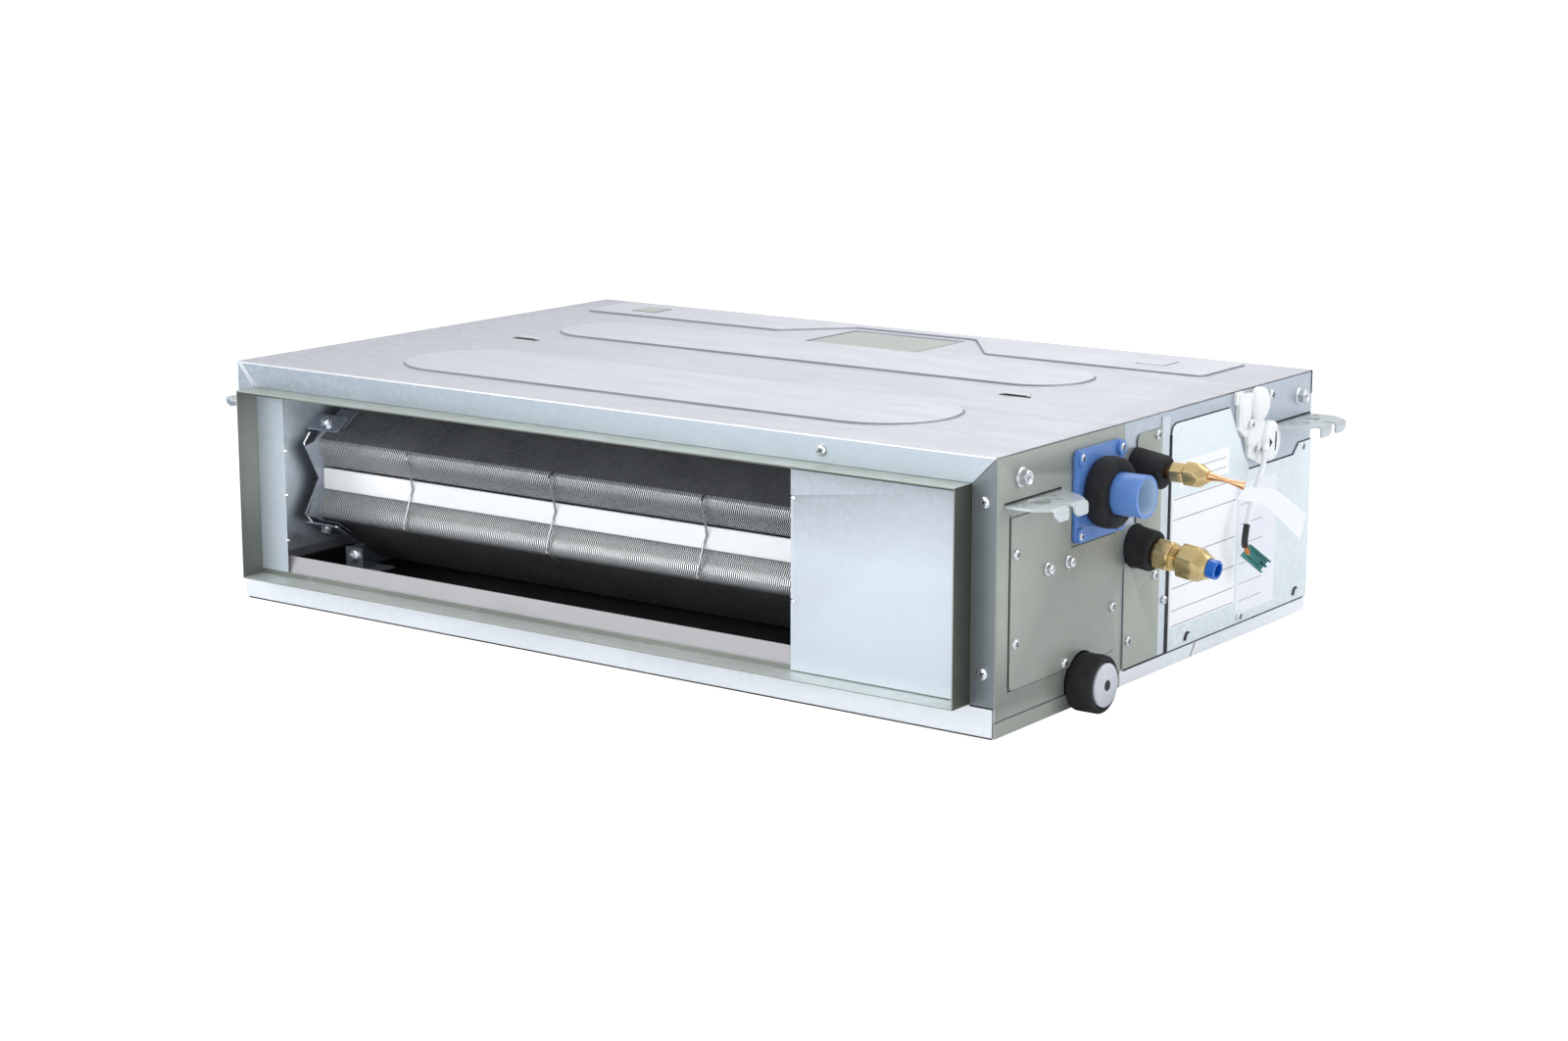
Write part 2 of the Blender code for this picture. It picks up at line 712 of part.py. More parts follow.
def return_collar(steel):
    """The flange round the return opening, with rails for the air filter and an open left end."""
    half = RETURN_W / 2
    start = REAR + GAP
    frame = prism(
        rect(-half - RETURN_LAP, RETURN_LOW - RETURN_LAP, half + RETURN_LAP, RETURN_HIGH + RETURN_LAP),
        start, start + SHEET, across_y,
        holes=[rect(-half, RETURN_LOW, half, RETURN_HIGH)],
    )
    end = start + RETURN_DEPTH
    parts = []
    for z, step in ((RETURN_LOW, 1), (RETURN_HIGH, -1)):
        wall = sorted((z - step * SHEET, z))
        parts.append(block((-half - SHEET, start + 0.5, wall[0]), (half + SHEET, end, wall[1])))
        for y in (start + 4, start + 4 + FILTER_RAIL + FILTER_T + 2 * GAP):
            lip = sorted((z - step * 0.5, z + step * 5))
            parts.append(block((-half, y, lip[0]), (half + 0.5, y + FILTER_RAIL, lip[1])))
    parts.append(block((half, start + 0.5, RETURN_LOW - SHEET), (half + SHEET, end, RETURN_HIGH + SHEET)))
    return piece("return_collar", combined(frame, parts), steel, (0, REAR, CASE_H / 2))


def return_filter(mesh_black):
    """A flat frame with cross bars, a thin net set into it and a pull tab."""
    half = RETURN_W / 2
    low, high = RETURN_LOW + GAP, RETURN_HIGH - GAP
    y = REAR + GAP + 4 + FILTER_RAIL + GAP
    left, right = -half + 1, half - GAP
    pitch = (right - left - FILTER_BAR) / FILTER_CROSS
    height = (high - low - FILTER_BAR) / 2
    holes = []
    for i in range(FILTER_CROSS):
        for j in range(2):
            x0 = left + FILTER_BAR + i * pitch
            z0 = low + FILTER_BAR + j * height
            holes.append(rect(x0, z0, x0 + pitch - FILTER_BAR, z0 + height - FILTER_BAR))
    frame = prism(rect(left, low, right, high), y, y + FILTER_T, across_y, holes=holes)
    middle = (low + high) / 2
    tab = block((left - 12, y + 1, middle - 20), (left + 1, y + FILTER_T - 1, middle + 20))
    net = block((left + 2, y + FILTER_T - 1.5, low + 2), (right - 2, y + FILTER_T - 1, high - 2))
    return piece("return_filter", combined(frame, [tab, net]), mesh_black, (left, y, middle))


def access_panel(film):
    """The cover over the side hatch, notched under the pump flange and over the drain sleeve."""
    outline = rounded(rect(FRONT + SIDE_HATCH_EDGE, SIDE_HATCH_LOW, SPLIT_Y - 12, CASE_H - 41), 4)
    plate = prism(outline, COVER_X, COVER_X + SHEET, across_x)
    flange = OUTLET_PLATE / 2 + 2
    notch = block(
        (COVER_X - 1, OUTLET_Y - flange, OUTLET_Z - flange), (COVER_X + 3, OUTLET_Y + flange, OUTLET_Z + flange)
    )
    round_cut = rod(along((COVER_X - 1, DRAIN_Y, DRAIN_Z), (1, 0, 0)), 0, 4, DRAIN_SLEEVE_R + 2 * GAP, 24)
    half = HANGER_ROOT + 2 * GAP
    slot = block(
        (COVER_X - 1, HANGER_FRONT_Y - half, HANGER_Z - 9), (COVER_X + 3, HANGER_FRONT_Y + half, HANGER_Z + 9)
    )
    body = combined(plate, cut=[notch, round_cut, slot])
    return piece("access_panel", body, film, (COVER_X, FRONT + 90, 90))


def pipe_cover_plate(film):
    rear = COVER_FRONT - 15
    points = [
        (rear - 53, SIDE_LIP + 1), (rear, SIDE_LIP + 1), (rear, COVER_HIGH), (rear - 37, COVER_HIGH),
        (rear - 37, CASE_H - 106), (rear - 53, CASE_H - 106),
    ]
    outline = points[:3] + rounded(points, 5, 4)[15:20] + points[4:]
    plate = prism(outline, COVER_X, COVER_X + SHEET, across_x)
    liquid = rod(along((COVER_X - 1, LIQUID_Y, LIQUID_Z), (1, 0, 0)), 0, 4, LIQUID_SLEEVE_R + GAP, 24)
    gas = rod(along((COVER_X - 1, GAS_Y, GAS_Z), (1, 0, 0)), 0, 4, GAS_SLEEVE_R + 4 * GAP, 24)
    body = combined(plate, cut=[liquid, gas])
    return piece("pipe_cover_plate", body, film, (COVER_X, rear - 20, 90))


# Each cable clamp: its big and its small end, as (y, z, radius)
CLAMPS = {
    "cable_clamp_upper": ((REAR - 112.0, CASE_H - 14.0, 12.0), (REAR - 130.0, CASE_H - 16.0, 8.0)),
    "cable_clamp_lower": ((REAR - 90.0, CASE_H - 42.5, 13.5), (REAR - 114.0, CASE_H - 34.0, 8.0)),
}
CLAMP_MOUTH = ((3.8, 0.8, -5.3), (6.5, -4.0, -9.3), (9.2, -8.8, -13.3), (12.0, -14.4, -18.4))


def egg(big, small, steps=10):
    """The outline round two circles of different size."""
    (y0, z0, r0), (y1, z1, r1) = big, small
    axis = math.atan2(z1 - z0, y1 - y0)
    spread = math.acos((r0 - r1) / math.hypot(y1 - y0, z1 - z0))
    points = []
    for (y, z, r), start, end in (
        ((y0, z0, r0), axis + spread, axis + 2 * math.pi - spread),
        ((y1, z1, r1), axis - spread, axis + spread),
    ):
        for i in range(steps + 1):
            a = start + (end - start) * i / steps
            points.append((y + r * math.cos(a), z + r * math.sin(a)))
    return points


def cable_clamps(nylon):
    for name, (big, small) in CLAMPS.items():
        outline = egg(big, small)
        body = prism(outline, COVER_X, COVER_X + CLAMP_H - 2.5, across_x)
        crown = prism(inset(outline, 2), COVER_X + CLAMP_H - 3, COVER_X + CLAMP_H, across_x)
        slot = block(
            (COVER_X + 2, big[0] - 2, big[1] - 6), (COVER_X + CLAMP_H + 1, big[0] + 2, big[1] + 6)
        )
        mouth = [(RIGHT + x, big[0] + y, big[1] + z) for x, y, z in CLAMP_MOUTH]
        body = combined(body, [crown], [slot, swept(mouth, LEAD_R + 2 * GAP, 10)])
        piece(name, body, nylon, (COVER_X, big[0], big[1]))


def electrical_box(steel):
    """A tray let into the side, open to the cover, with a flange that laps the panel's inside."""
    left = INNER_RIGHT - BOX_DEEP
    outer = block((left, BOX_FRONT, BOX_LOW), (INNER_RIGHT, BOX_REAR, BOX_HIGH))
    inner = block(
        (left + SHEET, BOX_FRONT + SHEET, BOX_LOW + SHEET), (RIGHT, BOX_REAR - SHEET, BOX_HIGH - SHEET)
    )
    flange = prism(
        rect(BOX_FRONT - BOX_FLANGE, BOX_LOW - BOX_FLANGE, BOX_REAR + BOX_FLANGE, BOX_HIGH + BOX_FLANGE),
        INNER_RIGHT - SHEET, INNER_RIGHT, across_x,
        holes=[rect(BOX_FRONT + 0.5, BOX_LOW + 0.5, BOX_REAR - 0.5, BOX_HIGH - 0.5)],
    )
    walls = combined(outer, cut=[inner])
    return piece("electrical_box", combined(walls, [flange]), steel, (left, BOX_FRONT, BOX_LOW))


def cover_outline():
    """The cover's edge: stepped down at the rear to clear the hanger and the cable clamps."""
    front, rear = COVER_FRONT, REAR
    shelf = COVER_STEP + 8.5
    return [
        (front, COVER_LOW), (rear, COVER_LOW), (rear, shelf), (rear - 22, shelf), (rear - 31, COVER_STEP),
        (front + 127, COVER_STEP), (front + 122, COVER_STEP + 7), (front + 92, COVER_HIGH),
        (front + 7, COVER_HIGH), (front + 2, COVER_HIGH - 2), (front, COVER_HIGH - 7),
    ]


def electrical_cover(steel):
    plate = prism(cover_outline(), COVER_X, COVER_X + SHEET, across_x)
    return piece("electrical_cover", plate, steel, (COVER_X, COVER_FRONT, COVER_LOW))


def control_board(green):
    """The board on its stand-offs with a terminal block, a relay row and a capacitor."""
    left = INNER_RIGHT - BOX_DEEP + SHEET + GAP
    y0, y1 = BOX_FRONT + 12, BOX_REAR - 14
    z0, z1 = BOX_LOW + 10, BOX_HIGH - 10
    board = block((left + 6, y0, z0), (left + 7.6, y1, z1))
    parts = []
    for y in (y0 + 6, y1 - 6):
        for z in (z0 + 6, z1 - 6):
            parts.append(rod(along((left, y, z), (1, 0, 0)), 0, 6.5, 3, 8))
    terminals = block((left + 7, y1 - 52, z0 + 6), (left + 23, y1 - 6, z0 + 26))
    grooves = []
    for i in range(4):
        y = y1 - 46 + i * 11
        grooves.append(block((left + 16, y, z0 + 8), (left + 24, y + 6, z0 + 27)))
    parts.append(combined(terminals, cut=grooves))
    for i in range(4):
        y = y0 + 12 + i * 20
        parts.append(block((left + 7, y, z1 - 30), (left + 22, y + 14, z1 - 12)))
    parts.append(rod(along((left + 7, y0 + 26, z0 + 18), (1, 0, 0)), 0, 30, 11, 16))
    return piece("control_board", combined(board, parts), green, (left, y0, z0))


def slab_point(side, up, out):
    """A point of the coil's section: up along the slab from its nose, out from its inner face."""
    y = INNER_NOSE_Y + up * math.cos(COIL_ANGLE) - out * math.sin(COIL_ANGLE)
    rise = COIL_OPEN / 2 + up * math.sin(COIL_ANGLE) + out * math.cos(COIL_ANGLE)
    return y, COIL_MID_Z + side * rise


def slab_place(side):
    return lambda p, q, h: Vector((p, *slab_point(side, h, q)))


def fin_pack(name, side, length, alloy):
    """A comb of fins on both faces of the core, running up the slab."""
    low, high = COIL_LEFT + 2 * GAP, COIL_RIGHT - 2 * GAP
    count = int((high - low - FIN_T) // FIN_PITCH)
    pitch = (high - low - FIN_T) / count
    near, far = (COIL_T - COIL_CORE) / 2, (COIL_T + COIL_CORE) / 2
    bottom, top = [], []
    for i in range(count + 1):
        x = low + i * pitch
        bottom += [(x, near), (x, 0), (x + FIN_T, 0), (x + FIN_T, near)]
        top += [(x, far), (x, COIL_T), (x + FIN_T, COIL_T), (x + FIN_T, far)]
    outline = bottom[1:-1] + top[::-1][1:-1]
    pack = prism(outline, 0, length, slab_place(side))
    return piece(name, pack, alloy, (low, *slab_point(side, 0, 0)))


def tube_point(side, row, index):
    return slab_point(side, TUBE_PITCH * (index + 0.5), COIL_T / 2 + (row - 0.5) * 2 * TUBE_ROW)


def bend(x, way, first, second):
    """A return bend from one tube to the next, standing out of an end plate."""
    a, b = Vector((0, *first)), Vector((0, *second))
    middle, half = (a + b) / 2, (b - a) / 2
    out = Vector((way, 0, 0))
    root = Vector((x, 0, 0))
    path = [root + a - out * 0.4]
    steps = 4
    for i in range(steps + 1):
        angle = math.pi * i / steps
        path.append(root + middle - half * math.cos(angle) + out * (1.5 + half.length * math.sin(angle)))
    path.append(root + b - out * 0.4)
    return swept(path, TUBE_R, 6)


def plate_outline(foot_z, head_z):
    """The end plate: two lobes with a notch between them, a foot in the pan and an ear under the top."""
    e = PLATE_EDGE
    tip_y, tip_z = slab_point(1, 0, COIL_T)
    low_tip = slab_point(-1, 0, COIL_T)
    high = slab_point(1, COIL_UPPER + e, -e)
    low_end = slab_point(-1, COIL_LOWER + e, -e)
    foot = slab_point(-1, COIL_LOWER - 20, COIL_T + e)
    return [
        (tip_y - PLATE_LIP, tip_z), (INNER_NOSE_Y - PLATE_LIP, COIL_MID_Z), (low_tip[0] - PLATE_LIP, low_tip[1]),
        slab_point(-1, 0, COIL_T + e), foot, (foot[0], foot_z), (low_end[0], foot_z), low_end,
        (INNER_NOSE_Y + 12, COIL_MID_Z), high, (high[0] + 10, head_z), (high[0] - 14, head_z),
        slab_point(1, COIL_UPPER, COIL_T + e), slab_point(1, 0, COIL_T + e),
    ]


def end_plate(name, x, way, pairs, extra, steel):
    outline = plate_outline(PAN_TOP + GAP, CASE_H - SHEET - GAP)
    low, high = sorted((x, x + way * PLATE_T))
    plate = prism(outline, low, high, across_x)
    bends = []
    for side, first, second in pairs:
        start, end = tube_point(side, *first), tube_point(side, *second)
        bends.append(bend(x + way * PLATE_T, way, start, end))
    return piece(name, combined(plate, [*bends, *extra]), steel, (x, INNER_NOSE_Y, COIL_MID_Z))


def plate_tabs():
    """The two screwed tabs folded over the slabs from the left end plate."""
    tabs = []
    for side, start in ((1, 22.0), (-1, 8.0)):
        reach = COIL_T + PLATE_EDGE - 1.6
        outline = rounded(rect(start, reach, start + 20, reach + 1.2), 0.3, 1)
        place = slab_place(side)
        low, high = COIL_LEFT - PLATE_T / 2, COIL_LEFT + 19
        tabs.append(prism(outline, low, high, lambda p, q, h, at=place: at(h, q, p)))
        centre = Vector((COIL_LEFT + 10, *slab_point(side, start + 10, reach + 0.8)))
        away = Vector((0, *slab_point(side, 0, 1))) - Vector((0, *slab_point(side, 0, 0)))
        head = [(0, 0), (0, 3.6), (1.4, 3.3), (2.4, 2.0), (2.7, 0)]
        tabs.append(turned(head, along(centre, away), 8))
    return tabs


def coil(alloy, steel, white):
    fin_pack("coil_fins_upper", 1, COIL_UPPER, alloy)
    fin_pack("coil_fins_lower", -1, COIL_LOWER, alloy)
    left_pairs = [(1, (0, 0), (0, 1)), (1, (0, 2), (0, 3)), (1, (1, 0), (1, 1)), (1, (1, 2), (1, 3)),
                  (1, (0, 4), (1, 4)), (-1, (0, 0), (0, 1)), (-1, (0, 2), (0, 3)), (-1, (1, 0), (1, 1)),
                  (-1, (1, 2), (1, 3))]
    right_pairs = [(1, (0, 1), (0, 2)), (1, (1, 1), (1, 2)), (1, (0, 3), (0, 4)), (-1, (0, 1), (0, 2)),
                   (-1, (1, 1), (1, 2))]
    end_plate("coil_left_plate", COIL_LEFT, -1, left_pairs, plate_tabs(), steel)
    end_plate("coil_right_plate", COIL_RIGHT, 1, right_pairs, [], steel)
    y = INNER_NOSE_Y
    low, high = COIL_MID_Z - COIL_OPEN / 2, COIL_MID_Z + COIL_OPEN / 2
    section = [
        (y + 6, low + 1), (y - 3, low + 0.4), (y - 5.2, low + 2), (y - 5.2, high - 5), (y - 1.2, high - 0.8),
        (y + 6, high - 1), (y + 6, high - 2.4), (y - 0.6, high - 2.4), (y - 3.8, high - 6),
        (y - 3.8, low + 2.2), (y + 6, low + 2.4),
    ]
    strip = prism(section, COIL_LEFT + 2 * GAP, COIL_RIGHT - 2 * GAP, across_x)
    piece("coil_nose_strip", strip, white, (COIL_LEFT, y, COIL_MID_Z))


def clip_path():
    """The spring clip: hooked over the upper slab, kinked at the nose strip, tucked under the lower slab."""
    off = CLIP_R + GAP
    return [
        slab_point(1, 7, COIL_T + off), slab_point(1, -off, COIL_T + off), slab_point(1, -off, COIL_T - 3),
        (INNER_NOSE_Y - 5.2 - off, COIL_MID_Z + 2), (INNER_NOSE_Y - 5.2 - off, COIL_MID_Z - 4),
        slab_point(-1, -off, COIL_T - 3), slab_point(-1, -off, COIL_T + off), slab_point(-1, 24, COIL_T + off),
    ]


def coil_clips(wire):
    for name, offset in CLIP_PLACES.items():
        x = COIL_LEFT + offset
        path = [(x + 3 * math.sin(i), y, z) for i, (y, z) in enumerate(clip_path())]
        obj = swept(path, CLIP_R, 6)
        piece("coil_clip_" + name, obj, wire, (x, INNER_NOSE_Y, COIL_MID_Z), smooth=True)


def drain_pan(foam):
    """A deep tray under the coil and the pump, with the gravity spout through its right wall."""
    y0, y1 = FRONT + PAN_FRONT, PARTITION_Y - PAN_REAR_GAP
    x0, x1 = INNER_LEFT + GAP, INNER_RIGHT - GAP
    body = block((x0, y0, FLOOR_Z), (x1, y1, PAN_SIDE_H))
    front = block((x0, y0, FLOOR_Z), (x1, y0 + PAN_WALL, PAN_FRONT_H))
    floor = [
        (y0 + PAN_WALL, PAN_FRONT_H), (y0 + PAN_WALL + 4, PAN_TOP + 1), (y0 + PAN_WALL + 10, PAN_TOP),
        (y1 - PAN_WALL - 6, PAN_TOP), (y1 - PAN_WALL, PAN_FRONT_H),
    ]
    hollow = prism(floor, x0 + PAN_WALL, x1 - PAN_WALL, across_x)
    spout = along((x1 - PAN_WALL, DRAIN_Y, DRAIN_Z), (1, 0, 0))
    outlet = rod(spout, 1, PAN_WALL + 18, DRAIN_R, 20)
    bore = rod(spout, -2, PAN_WALL + 20, DRAIN_BORE - 1.5, 20)
    return piece("drain_pan", combined(body, [front, outlet], [hollow, bore]), foam, (0, y0, FLOOR_Z))


def gravity_drain(foam, grey):
    axis = along((RIGHT, DRAIN_Y, DRAIN_Z), (1, 0, 0))
    sleeve = turned(
        [(-0.6, DRAIN_SLEEVE_R - 1), (3, DRAIN_SLEEVE_R), (DRAIN_SLEEVE_OUT - 2, DRAIN_SLEEVE_R),
         (DRAIN_SLEEVE_OUT, DRAIN_SLEEVE_R - 1.2), (DRAIN_SLEEVE_OUT, DRAIN_PLUG_R + GAP),
         (DRAIN_SLEEVE_OUT - 3, DRAIN_PLUG_R + GAP), (DRAIN_SLEEVE_OUT - 3, DRAIN_SLEEVE_IN),
         (-0.6, DRAIN_SLEEVE_IN)],
        axis, 20, closed=True,
    )
    piece("gravity_drain_sleeve", sleeve, foam, (RIGHT, DRAIN_Y, DRAIN_Z), smooth=True)
    face = DRAIN_SLEEVE_OUT + 2.4
    plug = turned(
        [(DRAIN_STEM_IN, 0), (DRAIN_STEM_IN, DRAIN_STEM_R - 0.6), (DRAIN_STEM_IN + 2, DRAIN_STEM_R),
         (DRAIN_SLEEVE_OUT - 2.6, DRAIN_STEM_R), (DRAIN_SLEEVE_OUT - 2.6, DRAIN_PLUG_R - 0.4),
         (face - 1.2, DRAIN_PLUG_R), (face, DRAIN_PLUG_R - 1.6), (face, DRAIN_PLUG_HOLE),
         (face - 9, DRAIN_PLUG_HOLE), (face - 9, 0)],
        axis, 24,
    )
    return piece("gravity_drain_plug", plug, grey, (RIGHT, DRAIN_Y, DRAIN_Z), smooth=True)


def pump_and_float(plastic, steel, white, rubber):
    """The lift pump over its sump mouth, hung with the float stem from a shelf on the right panel."""
    axis = along((PUMP_X, PUMP_Y, 0), (0, 0, 1))
    r, w = PUMP_BOWL_R, PUMP_WALL
    low, high = PUMP_BOWL_LOW, PUMP_BOWL_HIGH
    mouth = PAN_TOP + 3
    bore = PUMP_SHAFT_R + BORE_GAP
    bowl = turned(
        [(mouth, PUMP_MOUTH_R), (low, PUMP_MOUTH_R + 1), (low, r), (high, r), (high, bore), (high - w, bore),
         (high - w, r - w), (low + w, r - w), (low + w, PUMP_MOUTH_R - w), (mouth, PUMP_MOUTH_R - w)],
        axis, 16, closed=True,
    )
    can_low = PUMP_BOWL_HIGH + PUMP_CAN_LIFT
    can = turned(
        [(can_low, bore), (can_low, PUMP_CAN_R - 2), (can_low + 2, PUMP_CAN_R), (PUMP_SHELF_Z - GAP, PUMP_CAN_R),
         (PUMP_SHELF_Z - GAP, 0), (can_low + 12, 0), (can_low + 12, bore)],
        axis, 16, closed=True,
    )
    posts = []
    for i in range(3):
        a = 2 * math.pi * i / 3
        x, y = PUMP_X + (r - 4) * math.cos(a), PUMP_Y + (r - 4) * math.sin(a)
        posts.append(rod(along((x, y, 0), (0, 0, 1)), high - 0.5, can_low + 1, 2.5, 8))
    spout_z = high - 8
    spout = along((PUMP_X, PUMP_Y, spout_z), (1, 0, 0))
    nozzle = rod(spout, r - 3, r + 8, 7, 12)
    nozzle_bore = rod(spout, r - w - 4, r + 10, 5, 12)
    body = combined(bowl, [can, *posts, nozzle], [nozzle_bore])
    piece("pump_housing", body, plastic, (PUMP_X, PUMP_Y, high), smooth=True)

    shaft = rod(axis, low + w + 1, can_low + 10, PUMP_SHAFT_R, 12)
    hub = rod(axis, low + w + 1, high - w - 2, 5, 12)
    vanes = []
    for i in range(4):
        a = math.pi * i / 2
        away = Vector((math.cos(a), math.sin(a), 0))
        side = Vector((-math.sin(a), math.cos(a), 0))
        points = [away * 3 - side, away * (r - w - 1.5) - side, away * (r - w - 1.5) + side, away * 3 + side]
        outline = [(PUMP_X + p.x, PUMP_Y + p.y) for p in points]
        vanes.append(prism(outline, low + w + 1.5, high - w - 3))
    turning = axis_empty("pump_axis", (PUMP_X, PUMP_Y, high))
    impeller = combined(shaft, [hub, *vanes])
    piece("pump_impeller", impeller, white, (PUMP_X, PUMP_Y, high), turning)

    shelf_top = PUMP_SHELF_Z + 1.5
    front, rear = PUMP_Y - 30, PUMP_Y + PUMP_SHELF_REAR
    back = INNER_RIGHT - GAP
    shelf = block((FLOAT_X - 12, front, PUMP_SHELF_Z), (back, rear, shelf_top))
    leg = block((back - 1.5, front, PUMP_SHELF_Z + 0.5), (back, rear, PUMP_SHELF_Z + PUMP_LEG_H))
    hose_hole = rod(along((HOSE_X, PUMP_Y, PUMP_SHELF_Z - 3), (0, 0, 1)), 0, 8, HOSE_R + GAP, 16)
    stem_axis = along((FLOAT_X, FLOAT_Y, 0), (0, 0, 1))
    stop = PAN_TOP + 4
    stem = rod(stem_axis, stop, PUMP_SHELF_Z + 0.5, FLOAT_STEM_R, 12)
    foot = rod(stem_axis, stop, stop + 1.6, 6, 12)
    outlet_hole = rod(along((INNER_RIGHT - 6, OUTLET_Y, OUTLET_Z), (1, 0, 0)), 0, 9, OUTLET_R + 1, 20)
    body = combined(shelf, [leg, stem, foot], [hose_hole, outlet_hole])
    piece("pump_bracket", body, steel, (INNER_RIGHT, PUMP_Y, PUMP_SHELF_Z))

    bottom = stop + 1.6 + GAP
    inner = FLOAT_STEM_R + BORE_GAP
    ball = turned(
        [(bottom, inner), (bottom, FLOAT_R - 2), (bottom + 2, FLOAT_R), (bottom + FLOAT_H - 2, FLOAT_R),
         (bottom + FLOAT_H, FLOAT_R - 2), (bottom + FLOAT_H, inner)],
        stem_axis, 16, closed=True,
    )
    piece("pump_float", ball, white, (FLOAT_X, FLOAT_Y, bottom), smooth=True)

    start = Vector((PUMP_X + r + 8 + GAP, PUMP_Y, spout_z))
    end = Vector((RIGHT - HOSE_END - GAP, PUMP_Y, OUTLET_Z))
    corners = [(HOSE_X, PUMP_Y, spout_z), (HOSE_X, PUMP_Y, OUTLET_Z)]
    outer = swept(bent([start, *corners, end], HOSE_BEND), HOSE_R, 10)
    step = Vector((1, 0, 0))
    inner = swept(bent([start - step, *corners, end + step], HOSE_BEND), HOSE_R - 2, 10)
    hose = combined(outer, cut=[inner])
    piece("lift_hose", hose, rubber, (HOSE_X, PUMP_Y, OUTLET_Z), smooth=True)


def drain_outlet(blue, foam):
    """The blue flange with corner bosses and a web, its pipe, and the foam sleeve round the pipe's root."""
    axis = along((COVER_X, OUTLET_Y, OUTLET_Z), (1, 0, 0))
    half = OUTLET_PLATE / 2
    outline = rounded(
        rect(OUTLET_Y - half, OUTLET_Z - half, OUTLET_Y + half, OUTLET_Z + half), 5
    )
    plate = prism(outline, COVER_X, COVER_X + OUTLET_PLATE_T, across_x)
    parts = []
    for sy in (-1, 1):
        for sz in (-1, 1):
            y, z = OUTLET_Y + sy * OUTLET_SCREW, OUTLET_Z + sz * OUTLET_SCREW
            parts.append(rod(along((COVER_X + 0.5, y, z), (1, 0, 0)), 0, 5, OUTLET_BOSS_R - 1.5, 16))
    reach = OUTLET_OUT - GAP
    parts.append(rod(axis, OUTLET_PLATE_T - 1, reach, OUTLET_R, 24))
    parts.append(rod(axis, -HOSE_END - GAP, 1, OUTLET_R - 1, 24))
    bore = rod(axis, -HOSE_END - 2, reach + 1, OUTLET_BORE, 24)
    body = combined(plate, parts, [bore])
    piece("drain_outlet", body, blue, (COVER_X, OUTLET_Y, OUTLET_Z), smooth=True)
    start = OUTLET_PLATE_T + GAP
    end = start + OUTLET_SLEEVE_L
    r = OUTLET_SLEEVE_R
    inner = OUTLET_R + GAP
    bosses = [
        rod(along((COVER_X, OUTLET_Y + a * OUTLET_SCREW, OUTLET_Z + b * OUTLET_SCREW), (1, 0, 0)),
            2, OUTLET_SLEEVE_L + 10, OUTLET_BOSS_R, 12)
        for a in (-1, 1) for b in (-1, 1)
    ]
    sleeve = turned(
        [(start, r - 2), (start + 4, r), (end - 6, r + 0.4), (end - 1.5, r - 1.4), (end, r - 4), (end, inner),
         (start, inner)],
        axis, 22, closed=True,
    )
    sleeve = combined(sleeve, cut=bosses)
    piece("drain_outlet_sleeve", sleeve, foam, (COVER_X, OUTLET_Y, OUTLET_Z), smooth=True)


def nut_shape(place, start, hex_end, flats, tip, tip_r, bore, thread):
    """A flare nut: a hexagon with turned corners and a cone towards the line."""
    body = prism(hexagon(flats), start, hex_end, place)
    cone = turned(
        [(hex_end - 3, 0), (hex_end - 3, flats / 2 - 0.2), (hex_end, flats / 2 - 0.4), (tip, tip_r), (tip, 0)],
        place, 24,
    )
    hole = rod(place, start - 1, tip + 1, bore, 20)
    seat = rod(place, start - 1, start + thread, bore + 2.2, 20)
    return combined(body, [cone], [hole, seat])


